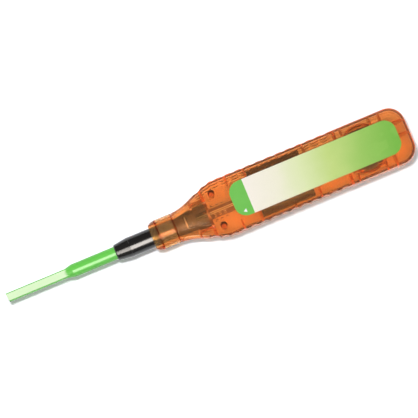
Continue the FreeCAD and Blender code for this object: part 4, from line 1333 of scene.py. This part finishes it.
@dataclass
class Reels:
    """Gear, reels, the thread wound on them and the thread between.

    Attributes:
        finishes: The pen's materials.
        plies: Plies in the thread.
        ply: Radius of a ply.
        ply_reach: Distance of a ply's middle from the thread's.
        lay: Length of one full twist.
        step: Distance between points along the thread.
        sides: Corners round a ply or a wound turn.
        side: Distance of each strand from the pen's axis.
        clear_end: Room at the ends where strands of two bodies meet.
        over_roll: Distance of a strand's middle over a roll.
        beside: Distance of a strand's middle from a bar or pin.
        bend: How far behind the label's front the strands spread.
        held_back: How far before the case's rear end the strands move only with the case; not used.
        turn_radius: Radius of a wound turn, as it is spaced.
        turn_swell: How much thicker than its spacing a turn is.
        turn_steps: Points in a wound turn.
        tip_inset: The loop's front, from the front of its node.
        tip_corner: Length of the loop's slanted corners.
        tip_flat: Reach of the loop's flat front, as a share of the strands' distance.
    """

    finishes: Finishes
    plies: int = 3
    ply: float = 0.11 * MM
    ply_reach: float = 0.10 * MM
    lay: float = 1.5 * MM
    step: float = 0.14 * MM
    sides: int = 6
    side: float = 0.42 * MM
    clear_end: float = 0.12 * MM
    over_roll: float = 0.3 * MM
    beside: float = 0.28 * MM
    bend: float = 2.0 * MM
    held_back: float = 6.0 * MM
    turn_radius: float = 0.21 * MM
    turn_swell: float = 1.12
    turn_steps: int = 64
    tip_inset: float = 0.2 * MM
    tip_corner: float = 0.25 * MM
    tip_flat: float = 0.6

    def dress(self) -> None:
        """Give the gear and reels their finishes."""
        dress("drive_gear", self.finishes.white)
        dress("takeup_reel", self.finishes.brown)
        dress("supply_reel", self.finishes.brown)

    def build_roll(self, node: str, body: Body) -> None:
        """Turns of thread wound side by side on a reel.

        Args:
            node: The plain roll that this stands for.
            body: The body that it turns with.
        """
        low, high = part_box(node)
        centre = (low + high) / 2
        reach = (high.x - low.x) / 2 - self.turn_radius
        thickness = 2 * self.turn_radius
        last = int((high.z - low.z) / thickness) * self.turn_steps
        points = []
        for index in range(last + 1):
            angle = 2 * math.pi * index / self.turn_steps
            height = low.z + self.turn_radius + (high.z - low.z - thickness) * index / last
            points.append(round_point(centre, reach, angle, height))
        vertices, faces = tube_mesh([points], self.turn_radius * self.turn_swell, self.sides)
        piece = mesh_object(node + "_turns", vertices, faces, self.finishes.yarn)
        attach(piece, body.value)
        dress(node, self.finishes.yarn)

    def build_thread(self) -> None:
        """The two strands between the stem and the reels, as twisted plies."""
        piece = self.plied("cleaning_thread_plies", self.routes())
        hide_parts("cleaning_thread")
        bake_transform(piece)

    def plied(self, name: str, routes: list[list[Vector]]) -> bpy.types.Object:
        """Twisted strands along corner points.

        Args:
            name: The piece's name.
            routes: The corner points, one list a strand.

        Returns:
            The piece.
        """
        paths = []
        for corners in routes:
            centre = even_points(corners, self.step)
            paths += plied_paths(centre, self.plies, self.ply_reach, self.lay)
        vertices, faces = tube_mesh(paths, self.ply, self.sides)
        return mesh_object(name, vertices, faces, self.finishes.yarn)

    def routes(self) -> list[list[Vector]]:
        """Corner points of the used strand and the fresh strand.

        Returns:
            Two lists of points.
        """
        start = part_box("cleaning_thread")[0].x + self.clear_end
        stem_low, stem_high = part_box("head_stem")
        height = (stem_low.z + stem_high.z) / 2
        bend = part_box("front_label")[0].x + self.bend
        front_bar, rear_bar, over = self.bars()
        pin_low, pin_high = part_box("thread_guide_pin")
        beside_pin = pin_low.y - self.beside
        used = [Vector((start, -self.side, height)), Vector((bend, -self.side, height))]
        used.append(self.meets_roll(used[-1], "takeup_roll", -1))
        fresh = [
            Vector((start, self.side, height)),
            Vector((bend, self.side, height)),
            Vector((front_bar, beside_pin, over)),
            Vector((rear_bar, beside_pin, over)),
            Vector(((pin_low.x + pin_high.x) / 2, beside_pin, height)),
        ]
        fresh.append(self.meets_roll(fresh[-1], "supply_roll", 1))
        return [used, fresh]

    def bars(self) -> tuple[float, float, float]:
        """Stations of the two guide bars, and the height of a thread over them."""
        low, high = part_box("guide_bars")
        radius = (high.z - low.z) / 2
        return low.x + radius, high.x - radius, high.z + self.beside

    def meets_roll(self, point: Vector, roll: str, side: int) -> Vector:
        """Where a straight thread from a point first lies on a roll.

        Args:
            point: Where the thread comes from.
            roll: The roll's node.
            side: 1 for its +Y side and -1 for its -Y side.

        Returns:
            The point on the roll.
        """
        low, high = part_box(roll)
        centre = (low + high) / 2
        radius = (high.x - low.x) / 2 + self.over_roll
        away = Vector((point.x - centre.x, point.y - centre.y))
        angle = math.atan2(away.y, away.x) - side * math.acos(radius / away.length)
        return round_point(centre, radius, angle, point.z)

    def build_tip_loop(self) -> None:
        """The strand that runs over the cleaning head and back."""
        low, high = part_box("tip_thread")
        height = (low.z + high.z) / 2
        front = low.x + self.tip_inset
        rear = high.x - self.clear_end
        flat = self.tip_flat * self.side
        half = ((rear, self.side), (front + self.tip_corner, self.side), (front, flat))
        corners = [Vector((x, -y, height)) for x, y in half]
        corners += [Vector((x, y, height)) for x, y in reversed(half)]
        piece = self.plied("tip_thread_plies", [corners])
        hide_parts("tip_thread")
        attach(piece, Body.HEAD.value)


# ---------------------------------------------------------------- stage, light and camera


@dataclass(frozen=True)
class SoftLamp:
    """A soft lamp above the pen that faces it.

    Attributes:
        name: The lamp's name.
        tilt: Degrees from straight above, towards +X and towards +Y.
        reach: Its height.
        size: Its length along X and along Y.
        power: Its power in watts.
        colour: Colour of its light.
        hidden_from: The kinds of ray that don't meet it.
    """

    name: str
    tilt: tuple[float, float]
    reach: float
    size: tuple[float, float]
    power: float
    colour: Colour = WHITE
    hidden_from: tuple[str, ...] = ()

    def build(self) -> None:
        """Place the lamp."""
        data = bpy.data.lights.new(self.name, "AREA")
        data.shape = "RECTANGLE"
        data.size, data.size_y = self.size
        data.energy = self.power
        data.color = self.colour
        made = bpy.data.objects.new(self.name, data)
        towards_x, towards_y = (math.radians(angle) for angle in self.tilt)
        slope_x, slope_y = math.tan(towards_x), math.tan(towards_y)
        made.location = (self.reach * slope_x, self.reach * slope_y, self.reach)
        made.rotation_euler = (-towards_y, towards_x, 0.0)
        for kind in self.hidden_from:
            setattr(made, "visible_" + kind, False)
        bpy.context.scene.collection.objects.link(made)


@dataclass
class Studio:
    """A white floor, soft light from above and the camera.

    Attributes:
        roll: Camera's turn about its line of sight, in degrees.
        elevation: Camera's height above the horizon, in degrees.
        lens: Focal length in millimetres.
        view_width: Width of the view at the pen.
        aim_shift: How far the view's middle lies from the pen's middle.
        surround: Light from all round, where 1 is white.
        mirrored: The surround's brightness in reflections.
        glow: White that the floor adds to what the camera sees.
        glow_behind: The same for the floor seen through the clear plastic.
        floor_reach: Half of the floor's width.
        floor_gap: How far the floor lies under the pen.
        floor_colour: Colour of the floor.
        sensor: Width of the camera's sensor in millimetres.
        key: The lamp that casts the shadow.
        box: A wide soft box whose reflection runs along the pen.
    """

    roll: float = -22.7
    elevation: float = 84.3
    lens: float = 250.0
    view_width: float = 209.0 * MM
    aim_shift: tuple[float, float] = (1.4 * MM, 2.4 * MM)
    surround: float = 0.15
    mirrored: float = 0.2
    glow: float = 0.22
    glow_behind: float = 0.32
    floor_reach: float = 4.0
    floor_gap: float = 50 * MICRON
    floor_colour: Colour = (0.94, 0.96, 0.99)
    sensor: float = 36.0
    key: SoftLamp = SoftLamp(
        "key_lamp", (-2.1, 5.3), 1.2, (0.11, 0.11), 12.0, hidden_from=("glossy", "transmission")
    )
    box: SoftLamp = SoftLamp(
        "soft_box",
        (0.0, -22.0),
        1.0,
        (0.8, 0.74),
        28.0,
        colour=(1.0, 0.93, 0.87),
        hidden_from=("diffuse",),
    )

    def seen_directly(self, graph: Graph, *kinds: str) -> Socket:
        """Tell the rays that the camera follows from the light that falls on things.

        Args:
            graph: The material's graph.
            kinds: The kinds of ray to count, as Light Path names them.

        Returns:
            1 for rays of these kinds that met no matt surface yet, and 0 for others.
        """
        path = graph.node("ShaderNodeLightPath")
        counted = path.outputs[kinds[0]]
        for kind in kinds[1:]:
            counted = graph.math("MAXIMUM", counted, path.outputs[kind])
        unscattered = graph.math("LESS_THAN", path.outputs["Diffuse Depth"], 0.5)
        return graph.math("MULTIPLY", counted, unscattered)

    def build_floor(self) -> None:
        """A large plain floor under the pen, white to the camera and with the pen's shadow."""
        reach = self.floor_reach
        signs = ((-1, -1), (1, -1), (1, 1), (-1, 1))
        corners = [Vector((x * reach, y * reach, 0.0)) for x, y in signs]
        material, graph, shader, _ = start_material("studio_floor")
        set_values(shader, {
            "Base Color": rgba(self.floor_colour),
            "Roughness": 0.9,
            "Specular IOR Level": 0.1,
            "Emission Color": rgba(WHITE),
        })
        through = self.seen_directly(graph, "Is Transmission Ray")
        direct = self.seen_directly(graph, "Is Camera Ray", "Is Glossy Ray")
        behind = graph.math("MULTIPLY", through, self.glow_behind)
        before = graph.math("MULTIPLY", direct, self.glow)
        graph.link(graph.math("MAXIMUM", behind, before), shader.inputs["Emission Strength"])
        floor = mesh_object("studio_floor", corners, [(0, 1, 2, 3)], material)
        floor.location.z = CAD_BOX[0][2] - self.floor_gap

    def build_world(self) -> None:
        """A white surround that lights the pen only a little.

        What the camera sees directly or through the clear plastic is full white.
        """
        world = bpy.data.worlds.new("studio_world")
        world.use_nodes = True
        graph = Graph(world.node_tree)
        background = world.node_tree.nodes["Background"]
        background.inputs["Color"].default_value = rgba(WHITE)
        seen = self.seen_directly(graph, "Is Camera Ray", "Is Transmission Ray")
        mirrored = graph.math("MULTIPLY", self.seen_directly(graph, "Is Glossy Ray"), self.mirrored)
        strength = graph.math("MAXIMUM", graph.math("MAXIMUM", seen, mirrored), self.surround)
        graph.link(strength, background.inputs["Strength"])
        bpy.context.scene.world = world

    def build_lights(self) -> None:
        """Place both lamps."""
        self.key.build()
        self.box.build()

    def build_camera(self) -> None:
        """A long lens, almost straight above the pen."""
        data = bpy.data.cameras.new("product_camera")
        data.lens = self.lens
        data.sensor_width = self.sensor
        data.clip_start = 0.01
        data.clip_end = 20.0
        camera = bpy.data.objects.new("product_camera", data)
        low, high = (Vector(corner) for corner in CAD_BOX)
        aim = (low + high) / 2 + Vector((self.aim_shift[0], self.aim_shift[1], 0.0))
        distance = self.lens / self.sensor * self.view_width
        lean = math.radians(90.0 - self.elevation)
        back = Vector((0.0, -math.sin(lean), math.cos(lean)))
        turn = math.radians(self.roll)
        right = Vector((math.cos(turn), math.sin(turn), 0.0))
        right = (right - back * right.dot(back)).normalized()
        up = back.cross(right)
        camera.matrix_world = Matrix((right, up, back)).transposed().to_4x4()
        camera.location = aim + back * distance
        bpy.context.scene.collection.objects.link(camera)
        bpy.context.scene.camera = camera


def main() -> None:
    """Dress the pen, then build what surrounds it."""
    logging.basicConfig(level=logging.INFO, format="%(message)s")
    finishes = Finishes(Effects())
    handle = Handle(finishes)
    rotor = Rotor(finishes)
    reels = Reels(finishes)
    for part in (handle, Nose(finishes), rotor, reels):
        part.dress()
    rotor.build_spring()
    handle.build_spring()
    reels.build_thread()
    reels.build_tip_loop()
    reels.build_roll("takeup_roll", Body.TAKEUP)
    reels.build_roll("supply_roll", Body.SUPPLY)
    studio = Studio()
    studio.build_floor()
    studio.build_world()
    studio.build_lights()
    studio.build_camera()
    bpy.context.scene.view_settings.view_transform = "Standard"


if __name__ == "__main__":
    main()
